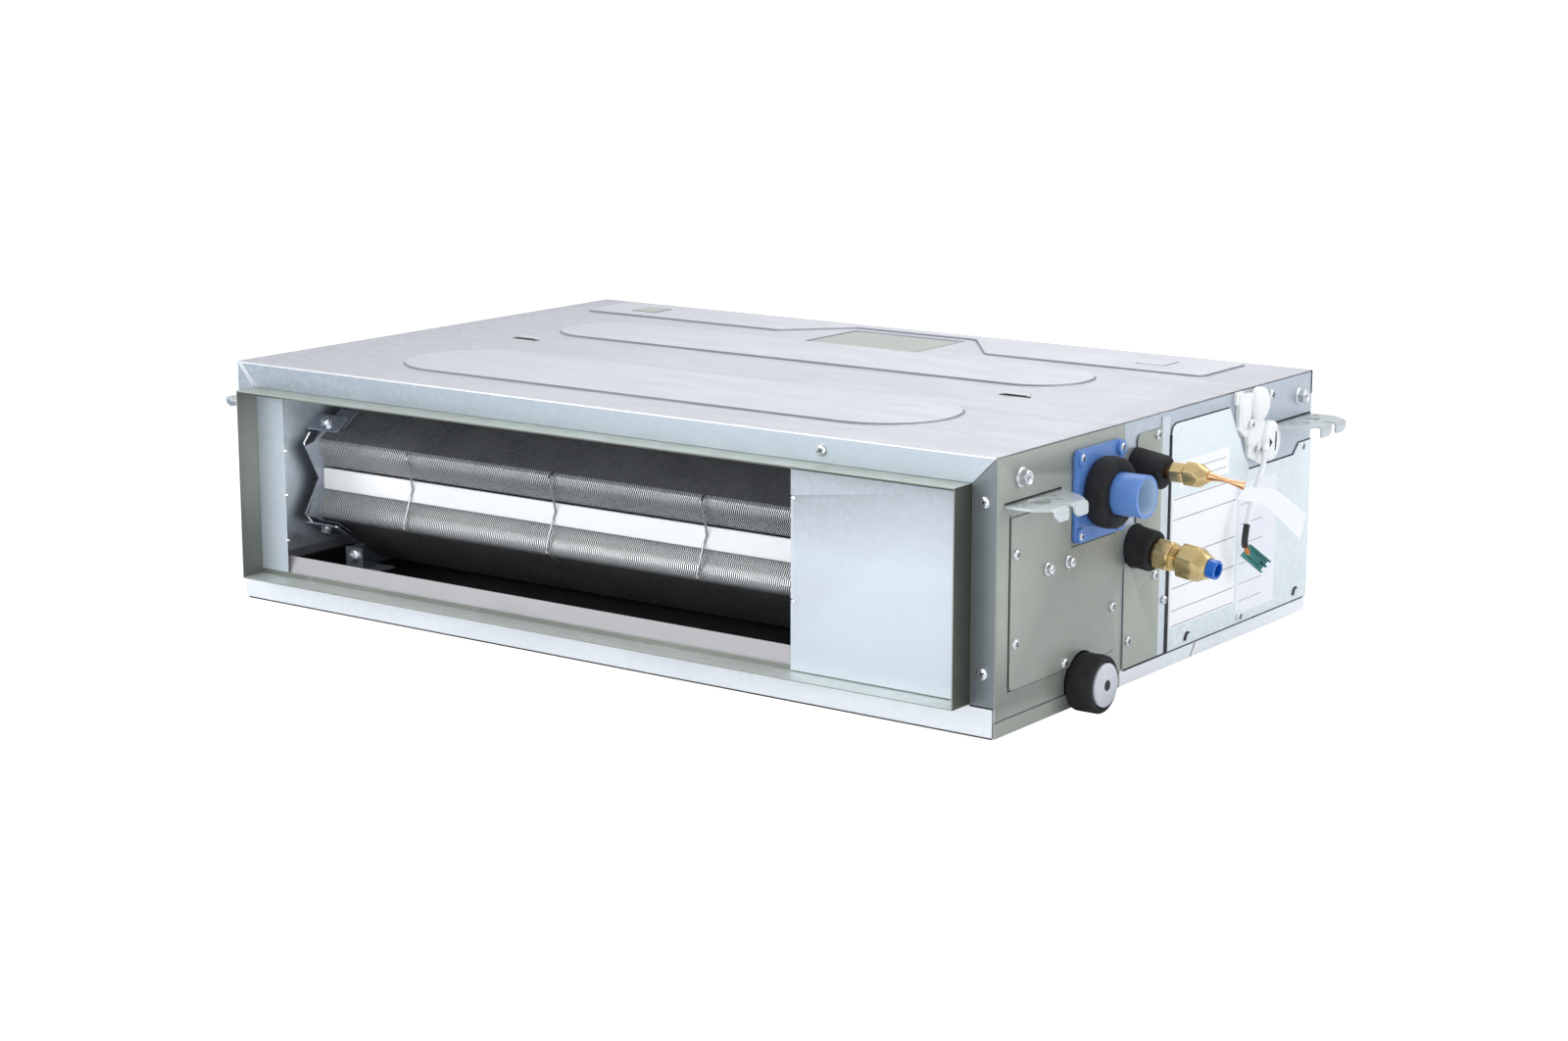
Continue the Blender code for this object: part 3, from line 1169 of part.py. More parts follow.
def liquid_line(copper, brass, foam, white):
    place = along((RIGHT, LIQUID_Y, LIQUID_Z), (1, 0, 0))
    at = (RIGHT, LIQUID_Y, LIQUID_Z)
    sleeve = tube(place, -22, LIQUID_SLEEVE_OUT, LIQUID_SLEEVE_R, LIQUID_R + BORE_GAP, 20)
    piece("liquid_sleeve", sleeve, foam, at, smooth=True)
    start, end, flats = LIQUID_UNION
    union = prism(hexagon(flats), start, end, place)
    thread = rod(place, end - 1, end + 4, LIQUID_THREAD_R, 16)
    pipe_end = end - 2
    bore = rod(place, start - 1, pipe_end, LIQUID_R + BORE_GAP, 16)
    piece("liquid_union", combined(union, [thread], [bore]), brass, at)
    nut_start, hex_end, nut_flats = LIQUID_NUT
    nut = nut_shape(
        place, nut_start, hex_end, nut_flats, LIQUID_NUT_TIP, 5.2, LIQUID_R + BORE_GAP, end + 4 - nut_start + GAP
    )
    piece("liquid_nut", nut, brass, at)
    reach = [(end + 4.6, LIQUID_R, LIQUID_R, 0), (LIQUID_NUT_TIP + 7, LIQUID_R, LIQUID_R, 0),
             (LIQUID_NUT_TIP + 12, 2.6, 3.0, -0.6), (LIQUID_NUT_TIP + 16, 1.3, 3.9, -1.2),
             (LIQUID_NUT_TIP + 22, 1.0, 4.6, -2.0), (LIQUID_TAIL, 1.2, 5.0, -2.8)]
    path = [(RIGHT + x, LIQUID_Y, LIQUID_Z + drop) for x, _, _, drop in reach]
    tail = swept(path, [(a, b) for _, a, b, _ in reach], 12)
    piece("liquid_tail", tail, copper, at, smooth=True)

    line = [(RIGHT + pipe_end - GAP, LIQUID_Y, LIQUID_Z), (RIGHT - 50, LIQUID_Y, LIQUID_Z),
            (RIGHT - 58, LIQUID_Y - 1, LIQUID_Z - 3), (RIGHT - 66, LIQUID_Y - 6, LIQUID_Z - 8)]
    hub = Vector((COIL_RIGHT + 42, LIQUID_Y - 14, LIQUID_Z - 18))
    line.append(tuple(hub + Vector((6, 2, 2))))
    pipe = swept(line, LIQUID_R, 8)
    cone = turned([(-12, 0), (-12, 7), (0, 7), (10, 3.6), (10, 0)], along(hub, (0.9, 0.3, 0.3)), 12)
    capillaries = []
    for side, row, index in ((1, 1, 3), (1, 0, 0), (-1, 0, 0)):
        y, z = tube_point(side, row, index)
        start_x = COIL_RIGHT + PLATE_T + GAP
        middle = (COIL_RIGHT + 22, (y + hub.y) / 2, (z + hub.z) / 2 + 6)
        path = [(start_x, y, z), (start_x + 8, y, z), middle, tuple(hub - Vector((8, 2.7, 2.7)))]
        capillaries.append(swept(path, 1.6, 6))
    body = combined(pipe, [cone, *capillaries])
    piece("liquid_distributor", body, copper, tuple(hub), smooth=True)


def gas_line(copper, brass, foam, blue):
    tilt = (math.cos(GAS_TILT), 0, -math.sin(GAS_TILT))
    place = along((RIGHT, GAS_Y, GAS_Z), tilt)
    at = (RIGHT, GAS_Y, GAS_Z)
    sleeve = tube(place, -14, GAS_SLEEVE_OUT, GAS_SLEEVE_R, GAS_R + BORE_GAP, 24)
    piece("gas_sleeve", sleeve, foam, at, smooth=True)
    start, end, flats = GAS_UNION
    union = prism(hexagon(flats), start, end, place)
    thread = rod(place, end - 1, GAS_NUT[0] + 4, GAS_THREAD_R, 20)
    bore = rod(place, start - 1, end - 3, GAS_R + BORE_GAP, 20)
    piece("gas_union", combined(union, [thread], [bore]), brass, at)
    nut_start, hex_end, nut_flats = GAS_NUT
    body = prism(hexagon(nut_flats), nut_start, hex_end, place)
    cone = turned(
        [(hex_end - 4, 0), (hex_end - 4, nut_flats / 2 - 0.2), (hex_end, nut_flats / 2 - 0.5),
         (GAS_NUT_TIP, GAS_PLUG_R + 1.6), (GAS_NUT_TIP, 0)],
        place, 24,
    )
    hole = rod(place, nut_start - 1, GAS_NUT_TIP + 1, GAS_PLUG_R + GAP, 20)
    seat = rod(place, nut_start - 1, nut_start + 5, GAS_THREAD_R + BORE_GAP, 20)
    piece("gas_nut", combined(body, [cone], [hole, seat]), brass, at)
    plug_start = nut_start + 6
    plug = turned(
        [(plug_start, 0), (plug_start, GAS_PLUG_R), (GAS_PLUG_OUT, GAS_PLUG_R), (GAS_PLUG_OUT, GAS_PLUG_R - 1.2),
         (GAS_PLUG_OUT - 9, GAS_PLUG_R - 1.4), (GAS_PLUG_OUT - 9, 0)],
        place, 20,
    )
    piece("gas_plug", plug, blue, at, smooth=True)

    header_x = COIL_RIGHT + 24
    header_y = GAS_Y - 22
    line = [tuple(place(0, 0, end - 3 - GAP)), tuple(place(0, 0, -40)), tuple(place(0, 0, -56))]
    corner = place(0, 0, -66)
    line += [(corner.x, corner.y - 3, corner.z - 1), (corner.x - 6, corner.y - 9, corner.z - 4)]
    outlets = [tube_point(-1, row, 3) for row in (0, 1)]
    header_low = min(z for _, z in outlets) + HEADER_END
    line += [(header_x + 5, header_y + 5, GAS_Z - 12), (header_x, header_y, GAS_Z - 20)]
    pipe = swept([*line, (header_x, header_y, header_low)], GAS_R, 10)
    stubs = []
    for y, z in outlets:
        path = [(COIL_RIGHT + PLATE_T + GAP, y, z), (COIL_RIGHT + 16, y, z), (header_x - 1, header_y, z + 4)]
        stubs.append(swept(path, TUBE_R, 6))
    piece("gas_header", combined(pipe, stubs), copper, (header_x, header_y, GAS_Z), smooth=True)


def scroll_outline(extra):
    """The volute's curve from the top of the outlet round to the tongue, grown outwards by extra."""
    points = []
    steps = 22
    lift = SCROLL_OUT_LOW - extra - FAN_Z
    start = math.pi / 2
    end = -math.pi - math.asin(lift / (SCROLL_CUT_R + extra))
    for i in range(steps + 1):
        share = i / steps
        angle = start + (end - start) * share
        radius = SCROLL_END_R + (SCROLL_CUT_R - SCROLL_END_R) * share + extra
        points.append((FAN_Y + radius * math.cos(angle), FAN_Z + radius * math.sin(angle)))
    return points


def scroll_housing(name, x0, x1, plastic):
    """One blower case: a spiral wall, two cheeks with round inlets and an outlet to the partition."""
    mouth = PARTITION_Y + SHEET + GAP
    outer = scroll_outline(SCROLL_T)
    inner = scroll_outline(0)
    shell = [(mouth, outer[0][1]), *outer, (mouth, outer[-1][1])]
    wall = [*shell, (mouth, inner[-1][1]), *inner[::-1], (mouth, inner[0][1])]
    spiral = prism(wall, x0, x1, across_x)
    cheeks = []
    for x in (x0 - 0.5, x1 - SCROLL_T + 0.5):
        hole = ring(FAN_Y, FAN_Z, INLET_R, 24)
        cheeks.append(prism(shell, x, x + SCROLL_T, across_x, holes=[hole]))
    return piece(name, combined(spiral, cheeks), plastic, (x0, FAN_Y, FAN_Z))


def blade_outline(index):
    """One forward-curved blade between the wheel's inner and outer radius."""
    steps = 2
    turn = 2 * math.pi * index / BLADES
    centre = []
    for i in range(steps + 1):
        share = i / steps
        radius = WHEEL_INNER_R + (WHEEL_R - 1 - WHEEL_INNER_R) * share
        angle = turn + BLADE_BEND * 0.45 * share ** 2
        centre.append(Vector((radius * math.cos(angle), radius * math.sin(angle))))
    front, back = [], []
    for i, point in enumerate(centre):
        ahead = centre[min(i + 1, steps)] - centre[max(i - 1, 0)]
        normal = Vector((-ahead.y, ahead.x)).normalized() * BLADE_T / 2
        front.append(point + normal)
        back.append(point - normal)
    return [(FAN_Y + p.x, FAN_Z + p.y) for p in back + front[::-1]]


def blades(x0, x1):
    """All the blades as one mesh of separate bars, which the rings then join."""
    bm = bmesh.new()
    for index in range(BLADES):
        points = blade_outline(index)
        low = [bm.verts.new((x0, y, z)) for y, z in points]
        high = [bm.verts.new((x1, y, z)) for y, z in points]
        bm.faces.new(low[::-1])
        bm.faces.new(high)
        for i in range(len(points)):
            bm.faces.new((low[i - 1], low[i], high[i], high[i - 1]))
    return shape_of(bm)


def blower_wheel(name, x0, white, axis):
    x1 = x0 + WHEEL_L
    middle = (x0 + x1) / 2
    place = along((0, FAN_Y, FAN_Z), (1, 0, 0))
    bore = SHAFT_R + BORE_GAP
    hub = turned(
        [(middle - HUB_L / 2, bore), (middle - HUB_L / 2, HUB_R), (middle - RING_T / 2, HUB_R + 3),
         (middle - RING_T / 2, WHEEL_R), (middle + RING_T / 2, WHEEL_R), (middle + RING_T / 2, HUB_R + 3),
         (middle + HUB_L / 2, HUB_R), (middle + HUB_L / 2, bore)],
        place, BLADES, closed=True,
    )
    rings = []
    for x in (x0, x1 - RING_W):
        rings.append(tube(place, x, x + RING_W, WHEEL_R, WHEEL_INNER_R - 1.5, BLADES))
    body = combined(blades(x0 + 1, x1 - 1), [hub, *rings])
    return piece(name, body, white, (middle, FAN_Y, FAN_Z), axis)


def blowers(plastic, white, steel, black):
    """The motor in its cradle, the through shaft, and a wheel in a scroll on each end of it."""
    place = along((0, FAN_Y, FAN_Z), (1, 0, 0))
    axis = axis_empty("fan_axis", (FAN_X, FAN_Y, FAN_Z))
    reach = WHEEL_NEAR + WHEEL_L / 2 + HUB_L / 2 + 6
    shaft = rod(place, FAN_X - reach, FAN_X + reach, SHAFT_R, 16)
    piece("fan_shaft", shaft, steel, (FAN_X, FAN_Y, FAN_Z), axis, smooth=True)
    gap = SCROLL_T + SCROLL_SIDE
    for name, x0 in (("left", FAN_X - WHEEL_NEAR - WHEEL_L), ("right", FAN_X + WHEEL_NEAR)):
        blower_wheel("blower_wheel_" + name, x0, white, axis)
        scroll_housing("scroll_" + name, x0 - gap, x0 + WHEEL_L + gap, plastic)
    half = MOTOR_L / 2
    bore = SHAFT_R + BORE_GAP
    motor = turned(
        [(FAN_X - half, bore), (FAN_X - half, 16), (FAN_X - half + 8, 18), (FAN_X - half + 10, MOTOR_R - 3),
         (FAN_X - half + 13, MOTOR_R), (FAN_X + half - 13, MOTOR_R), (FAN_X + half - 10, MOTOR_R - 3),
         (FAN_X + half - 8, 18), (FAN_X + half, 16), (FAN_X + half, bore)],
        place, 20, closed=True,
    )
    piece("fan_motor", motor, black, (FAN_X, FAN_Y, FAN_Z), smooth=True)
    r = MOTOR_R + GAP * 2
    low, high = FAN_X - CRADLE_W / 2, FAN_X + CRADLE_W / 2
    band = tube(place, low, high, r + CRADLE_T, r, 20)
    foot_z = FAN_Z - r - CRADLE_T / 2
    post = block((low, FAN_Y - 26, FLOOR_Z + 2), (high, FAN_Y + 26, foot_z))
    base = block((low - 14, FAN_Y - 40, FLOOR_Z), (high + 14, FAN_Y + 40, FLOOR_Z + 2.5))
    return piece("motor_cradle", combined(base, [post, band]), steel, (FAN_X, FAN_Y, FLOOR_Z))


def fan_partition(steel):
    """The wall between coil and fans, with the two scroll mouths and a foot and head flange."""
    mouths = []
    top = scroll_outline(0)[0][1]
    for x0 in (FAN_X - WHEEL_NEAR - WHEEL_L, FAN_X + WHEEL_NEAR):
        low, high = x0 - SCROLL_SIDE, x0 + WHEEL_L + SCROLL_SIDE
        mouths.append(rect(low, SCROLL_OUT_LOW, high, top))
    x1 = INNER_RIGHT - SHEET - GAP
    x0 = -x1
    outline = rect(x0, FLOOR_Z, x1, CASE_H - SHEET - GAP)
    wall = prism(outline, PARTITION_Y, PARTITION_Y + SHEET, across_y, holes=mouths)
    foot = block((x0, PARTITION_Y + 0.5, FLOOR_Z), (x1 - BOX_DEEP - 12, PARTITION_Y + 14, FLOOR_Z + SHEET))
    top_z = CASE_H - SHEET - GAP
    head = block((x0, PARTITION_Y + 0.5, top_z - SHEET), (x1 - BOX_DEEP - 12, PARTITION_Y + 12, top_z))
    return piece("fan_partition", combined(wall, [foot, head]), steel, (0, PARTITION_Y, FLOOR_Z))


def hanger(name, side, y, outward, steel):
    """A lug through the side with a slotted plate, two turned-down tabs, an inner leg and its flange bolt."""
    z0, z1 = HANGER_Z - HANGER_T / 2, HANGER_Z + HANGER_T / 2
    root = side * (INNER_RIGHT - HANGER_T - GAP)
    reach = RIGHT + HANGER_OUT
    slot = HANGER_SLOT / 2

    def at(out, across):
        return side * out, y + across

    points = [
        at(RIGHT - SHEET - 2 * GAP - HANGER_T, -HANGER_ROOT), at(RIGHT + 12, -HANGER_ROOT),
        at(reach - 8, -HANGER_TIP), at(reach, -HANGER_TIP), at(reach, -slot), at(RIGHT + 17, -slot),
        at(RIGHT + 13, 0), at(RIGHT + 17, slot), at(reach, slot), at(reach, HANGER_TIP),
        at(reach - 8, HANGER_TIP), at(RIGHT + 12, HANGER_ROOT),
        at(RIGHT - SHEET - 2 * GAP - HANGER_T, HANGER_ROOT),
    ]
    plate = prism(points, z0, z1)
    pad = [
        at(RIGHT + HANGER_PAD_START, -HANGER_TIP), at(reach, -HANGER_TIP), at(reach, -slot),
        at(RIGHT + 17, -slot), at(RIGHT + 13, 0), at(RIGHT + 17, slot), at(reach, slot),
        at(reach, HANGER_TIP), at(RIGHT + HANGER_PAD_START, HANGER_TIP),
    ]
    parts = [prism(pad, z0 + 0.5, z1 + HANGER_PAD)]
    for low, high in ((-HANGER_TIP, -slot), (slot, HANGER_TIP)):
        x0, x1 = sorted((side * (reach - HANGER_T), side * reach))
        parts.append(block((x0, y + low, z1 - HANGER_TAB), (x1, y + high, z0 + 0.5)))
    leg = sorted((root, root + side * HANGER_T))
    leg_top = CASE_H - SHEET - TOP_FLANGE - GAP
    parts.append(block((leg[0], y - HANGER_ROOT, z0), (leg[1], y + HANGER_ROOT, leg_top)))
    bolt = along((side * RIGHT, y + outward * HANGER_BOLT, HANGER_Z + HANGER_BOLT_UP), (side, 0, 0))
    parts.append(rod(bolt, -6, 2, 3, 8))
    parts.append(rod(bolt, GAP, 1.8, 7.4, 14))
    parts.append(prism(hexagon(9.5), 1.2, 5.6, bolt))
    return piece(name, combined(plate, parts), steel, (side * RIGHT, y, HANGER_Z))


def hangers(steel):
    for place, y, outward in (("front", HANGER_FRONT_Y, -1), ("rear", HANGER_REAR_Y, 1)):
        for hand, side in (("right", 1), ("left", -1)):
            hanger("hanger_" + place + "_" + hand, side, y, outward, steel)


def smooth_route(points, per_span=3):
    """Points along a smooth curve through the given ones."""
    route = [Vector(p) for p in points]
    ends = [route[0] * 2 - route[1]] + route + [route[-1] * 2 - route[-2]]
    out = []
    for i in range(1, len(ends) - 2):
        a, b, c, d = ends[i - 1], ends[i], ends[i + 1], ends[i + 2]
        for k in range(per_span):
            t = k / per_span
            out.append(
                0.5 * ((2 * b) + (c - a) * t + (2 * a - 5 * b + 4 * c - d) * t ** 2
                       + (3 * b - 3 * c + d - a) * t ** 3)
            )
    return out + [route[-1]]


def sensor_lead(white, green):
    """The short white lead out of the lower cable clamp, with a two-way connector hanging on it."""
    curve = bpy.data.curves.new("sensor_lead", "CURVE")
    curve.dimensions = "3D"
    curve.bevel_depth = LEAD_R * MM
    curve.bevel_resolution = 2
    curve.use_fill_caps = True
    points = smooth_route(LEAD_ROUTE, 1)
    spline = curve.splines.new("POLY")
    spline.points.add(len(points) - 1)
    for target, point in zip(spline.points, points):
        target.co = (*(point * MM), 1)
    obj = bpy.data.objects.new("sensor_lead", curve)
    obj.data.materials.append(white)
    bpy.context.scene.collection.objects.link(obj)

    end = Vector(LEAD_ROUTE[-1])
    direction = (end - Vector(LEAD_ROUTE[-2])).normalized()
    place = along(end, direction)
    deep, long, wide = CONNECTOR_SIZE
    body = prism(rect(-deep / 2, -wide / 2, deep / 2, wide / 2), GAP, long, place)
    slots = []
    for q in (-3.2, 3.2):
        slots.append(prism(rect(-1.6, q - 1.8, 1.6, q + 1.8), long - 8, long + 1, place))
    gap = prism(rect(-deep, -1.2, deep, 1.2), long - 5, long + 1, place)
    piece("lead_connector", combined(body, cut=[*slots, gap]), green, tuple(end))


def pipe_tag(white):
    """A blank strip looped over the pinched tail, bending down and back."""
    start = Vector((RIGHT + LIQUID_TAIL + 2, LIQUID_Y, LIQUID_Z - 6))
    step = Vector((0.81, 0.59, 0))
    spine = [(0, 0), (9, 2.2), (19, 2.6), (28, 0), (36, -5.5), (45, -12.5), (54, -20)]
    upper = [start + step * a + Vector((0, 0, b)) for a, b in spine]
    face = Vector((0.59, -0.81, 0)) * TAG_T
    bm = bmesh.new()
    rows = []
    for i, point in enumerate(upper):
        ahead = upper[min(i + 1, len(upper) - 1)] - upper[max(i - 1, 0)]
        across = ahead.cross(face).normalized() * TAG_W / 2
        rows.append([bm.verts.new(point + across), bm.verts.new(point - across),
                     bm.verts.new(point - across + face), bm.verts.new(point + across + face)])
    for first, second in zip(rows, rows[1:]):
        for i in range(4):
            j = (i + 1) % 4
            bm.faces.new((first[i], first[j], second[j], second[i]))
    bm.faces.new(rows[0])
    bm.faces.new(rows[-1])
    return piece("pipe_tag", shape_of(bm), white, tuple(start))


def build():
    clear_scene()
    steel = finish("galvanised steel", (0.72, 0.77, 0.81), 0.35, 0.8)
    film = finish("filmed steel", (0.30, 0.33, 0.28), 0.45, 0.3)
    alloy = finish("aluminium fins", (0.62, 0.64, 0.65), 0.4, 0.9)
    wire = finish("zinc wire", (0.55, 0.56, 0.57), 0.3, 0.9)
    copper = finish("copper", (0.72, 0.36, 0.18), 0.3, 0.9)
    brass = finish("brass", (0.60, 0.44, 0.16), 0.35, 0.9)
    white = finish("white plastic", (0.85, 0.85, 0.84), 0.45, 0.0)
    nylon = finish("nylon", (0.90, 0.91, 0.90), 0.35, 0.0)
    black = finish("black plastic", (0.03, 0.03, 0.03), 0.5, 0.0)
    foam = finish("black foam", (0.015, 0.015, 0.015), 0.85, 0.0)
    pan_foam = finish("pan foam", (0.05, 0.05, 0.055), 0.8, 0.0)
    grey = finish("grey plastic", (0.42, 0.43, 0.45), 0.4, 0.0)
    blue = finish("blue plastic", (0.08, 0.22, 0.62), 0.3, 0.0)
    bright_blue = finish("bright blue plastic", (0.01, 0.16, 0.70), 0.35, 0.0)
    green = finish("green plastic", (0.02, 0.22, 0.16), 0.4, 0.0)
    sill = finish("sill", (0.62, 0.60, 0.60), 0.4, 0.3)

    top_panel(steel)
    bottom_panel(steel)
    left_side_panel(steel)
    right_front_panel(film)
    right_rear_panel(steel)
    supply_collar(film)
    closing_plate(steel)
    drip_sill(sill)
    return_collar(steel)
    return_filter(black)
    access_panel(film)
    pipe_cover_plate(film)
    electrical_box(steel)
    electrical_cover(steel)
    control_board(green)
    cable_clamps(nylon)
    hangers(steel)
    coil(alloy, steel, white)
    coil_clips(wire)
    drain_pan(pan_foam)
    gravity_drain(foam, grey)
    pump_and_float(white, steel, nylon, foam)
    drain_outlet(blue, foam)
    liquid_line(copper, brass, foam, white)
    gas_line(copper, brass, foam, bright_blue)
    fan_partition(steel)
    blowers(black, white, steel, black)
    sensor_lead(nylon, green)
    pipe_tag(nylon)


build()
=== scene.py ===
"""Looks for a slim ducted air-conditioning indoor unit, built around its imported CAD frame."""

import math

import bmesh
import bpy
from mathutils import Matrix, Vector
from mathutils.geometry import delaunay_2d_cdt


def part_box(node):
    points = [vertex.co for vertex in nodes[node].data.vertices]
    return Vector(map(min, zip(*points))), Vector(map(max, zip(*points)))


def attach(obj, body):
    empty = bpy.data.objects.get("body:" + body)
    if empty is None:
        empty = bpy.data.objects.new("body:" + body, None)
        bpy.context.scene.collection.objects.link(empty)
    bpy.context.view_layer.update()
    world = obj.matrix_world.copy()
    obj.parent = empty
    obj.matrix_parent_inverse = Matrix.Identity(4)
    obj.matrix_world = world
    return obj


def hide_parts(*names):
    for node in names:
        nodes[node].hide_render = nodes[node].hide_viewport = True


# The case in millimetres, as in the CAD, and the outer face of the plates on its right side
MM = 0.001
RIGHT, FRONT, REAR, CASE_H = 370.0, -240.0, 240.0, 200.0
PLATE_X = 371.3
BAND_Z = 180.0

# The coil, as in the CAD: the angle of the slabs, their thickness and the nose they meet at
COIL_ANGLE = math.radians(34.0)
COIL_T = 27.0
COIL_OPEN = 15.0
NOSE_Y, NOSE_Z = -166.9, 94.0
COIL_LEFT, COIL_RIGHT = -341.5, 227.5
SLABS = ((1, 110.0, "coil_fins_upper"), (-1, 88.0, "coil_fins_lower"))
FIN_PITCH = 1.9
FIN_HALF = 0.36
FIN_FOLD = 0.42
TUBE_PITCH = 21
NOSE_CURVE = ((0, 2.5), (1.2, 0.9), (3.6, 0), (7.2, -0.3), (10.8, 0), (14.4, -0.3), (18, 0), (21.6, 0.6),
              (24.4, 2), (26.2, 4.2), (27, 7.5))

# The pipes and drains: where their axes leave the right side, and how the gas pipe leans
OUTLET = (0.0, -105.0, 155.5)
DRAIN = (0.0, -123.0, 17.5)
PIPE_Y, LIQUID_Z, GAS_Z = -47.0, 163.4, 104.6
GAS_AXIS = (math.cos(math.radians(8)), 0, -math.sin(math.radians(8)))

# The lead's route, the same points as in the CAD
LEAD_ROUTE = (
    (376.5, 146.0, 148.2), (379.2, 141.2, 144.2), (381.3, 136.0, 139.6), (382.6, 130.4, 134.6),
    (383.4, 124.6, 129.2), (384.0, 119.0, 123.4), (384.4, 113.8, 117.2), (384.8, 109.4, 110.6),
    (385.1, 105.9, 103.8), (385.3, 103.2, 97.0), (385.5, 101.0, 90.4), (385.7, 99.6, 84.4),
    (386.0, 100.0, 79.6), (386.4, 102.2, 76.2), (386.8, 105.2, 73.8),
)
LEAD_R = 2.2

TO_RIGHT, TO_LEFT, TO_FRONT, TO_REAR = (1, 0, 0), (-1, 0, 0), (0, -1, 0), (0, 1, 0)

# How strongly the camera sees the white background, and the height of the floor in metres
BACKGROUND = 1.2
FLOOR_Z = -0.0046

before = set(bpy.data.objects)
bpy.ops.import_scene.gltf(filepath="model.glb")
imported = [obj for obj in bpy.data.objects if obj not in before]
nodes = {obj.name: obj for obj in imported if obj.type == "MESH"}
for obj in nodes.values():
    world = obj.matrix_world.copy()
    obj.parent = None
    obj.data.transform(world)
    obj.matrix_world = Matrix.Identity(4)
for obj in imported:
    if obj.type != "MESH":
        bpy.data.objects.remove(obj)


def set_camera():
    data = bpy.data.cameras.new("photo_camera")
    data.lens = 67.59
    data.sensor_width = 36
    data.clip_start = 0.05
    cam = bpy.data.objects.new("photo_camera", data)
    cam.location = (1.41596, -1.92084, 0.56895)
    cam.rotation_euler = (math.radians(90 - 11.8104), 0, math.radians(36.1135))
    bpy.context.scene.collection.objects.link(cam)
    bpy.context.scene.camera = cam


set_camera()


# Placing rules: each takes a point of an outline and its height, in millimetres


def axes(origin, first, second, third):
    """A placing rule with its own origin and directions."""
    start, p_way, q_way, r_way = (Vector(v) for v in (origin, first, second, third))

    def place(p, q, r=0.0):
        return start + p_way * p + q_way * q + r_way * r

    return place


flat = axes((0, 0, 0), (1, 0, 0), (0, 1, 0), (0, 0, 1))
across_x = axes((0, 0, 0), (0, 1, 0), (0, 0, 1), (1, 0, 0))
across_y = axes((0, 0, 0), (1, 0, 0), (0, 0, 1), (0, 1, 0))


def along(start, direction, turn=0.0):
    """A placing rule whose height runs from start along direction."""
    axis = Vector(direction).normalized()
    hint = Vector((0, 0, 1)) if abs(axis.z) < 0.9 else Vector((0, 1, 0))
    side = hint.cross(axis).normalized()
    across = side * math.cos(turn) + axis.cross(side) * math.sin(turn)
    return axes(start, across, axis.cross(across), axis)


# Outlines


def rect(x0, y0, x1, y1):
    return [(x0, y0), (x1, y0), (x1, y1), (x0, y1)]


def corner_arc(before, here, after, radius, steps):
    """The points of the arc that rounds a corner."""
    back, ahead = (before - here).normalized(), (after - here).normalized()
    half = back.angle(ahead) / 2
    reach = radius / math.tan(half)
    centre = here + (back + ahead).normalized() * (radius / math.sin(half))
    start, end = here + back * reach - centre, here + ahead * reach - centre
    turn = start.angle(end)
    arc = []
    for k in range(steps + 1):
        share = k / steps
        arm = (start * math.sin(turn * (1 - share)) + end * math.sin(turn * share)) / math.sin(turn)
        arc.append(centre + arm)
    return arc


def rounded(points, radius, steps=5):
    """The closed outline with each corner turned into an arc."""
    corners = [Vector(p) for p in points]
    out = []
    for i, here in enumerate(corners):
        out += corner_arc(corners[i - 1], here, corners[(i + 1) % len(corners)], radius, steps)
    return [tuple(p) for p in out]


def bent(points, radius, steps=4):
    """The open path with each corner turned into an arc."""
    out = [points[0]]
    for before, here, after in zip(points, points[1:], points[2:]):
        out += corner_arc(before, here, after, radius, steps)
    return out + [points[-1]]


def inset(outline, distance):
    """The outline moved inwards."""
    points = [Vector(p) for p in outline]
    area = sum(a.x * b.y - b.x * a.y for a, b in zip(points, points[1:] + points[:1]))
    hand = 1 if area > 0 else -1
    out = []
    for i, here in enumerate(points):
        first = (here - points[i - 1]).normalized()
        second = (points[(i + 1) % len(points)] - here).normalized()
        normal = (Vector((-first.y, first.x)) + Vector((-second.y, second.x))).normalized() * hand
        lean = max(0.3, normal.dot(Vector((-first.y, first.x)) * hand))
        moved = here + normal * distance / lean
        out.append((moved.x, moved.y))
    return out


def curved(points, steps=6):
    """Points along a smooth curve through the given ones."""
    route = [Vector(p) for p in points]
    ends = [route[0] * 2 - route[1]] + route + [route[-1] * 2 - route[-2]]
    out = []
    for a, b, c, d in zip(ends, ends[1:], ends[2:], ends[3:]):
        for k in range(steps):
            t = k / steps
            out.append((b * 2 + (c - a) * t + (a * 2 - b * 5 + c * 4 - d) * t * t
                        + (b * 3 - a - c * 3 + d) * t ** 3) / 2)
    return out + [route[-1]]


# Mesh building: each of these adds to a bmesh in millimetres


def inside_hole(points, face, holes):
    """True if the triangle lies in one of the holes."""
    x = sum(points[i][0] for i in face) / len(face)
    y = sum(points[i][1] for i in face) / len(face)
    for hole in holes:
        crossed = False
        for (x0, y0), (x1, y1) in zip(hole, hole[1:] + hole[:1]):
            if (y0 > y) != (y1 > y) and x < x0 + (y - y0) / (y1 - y0) * (x1 - x0):
                crossed = not crossed
        if crossed:
            return True
    return False


def filled(loops):
    """The points and triangles that fill the first loop and leave the others open."""
    coords, edges = [], []
    for loop in loops:
        at = len(coords)
        coords += [Vector(p) for p in loop]
        edges += [(at + i, at + (i + 1) % len(loop)) for i in range(len(loop))]
    points, _, triangles, _, _, _ = delaunay_2d_cdt(coords, edges, [], 1, 1e-6)
    return points, [tri for tri in triangles if not inside_hole(points, tri, loops[1:])]


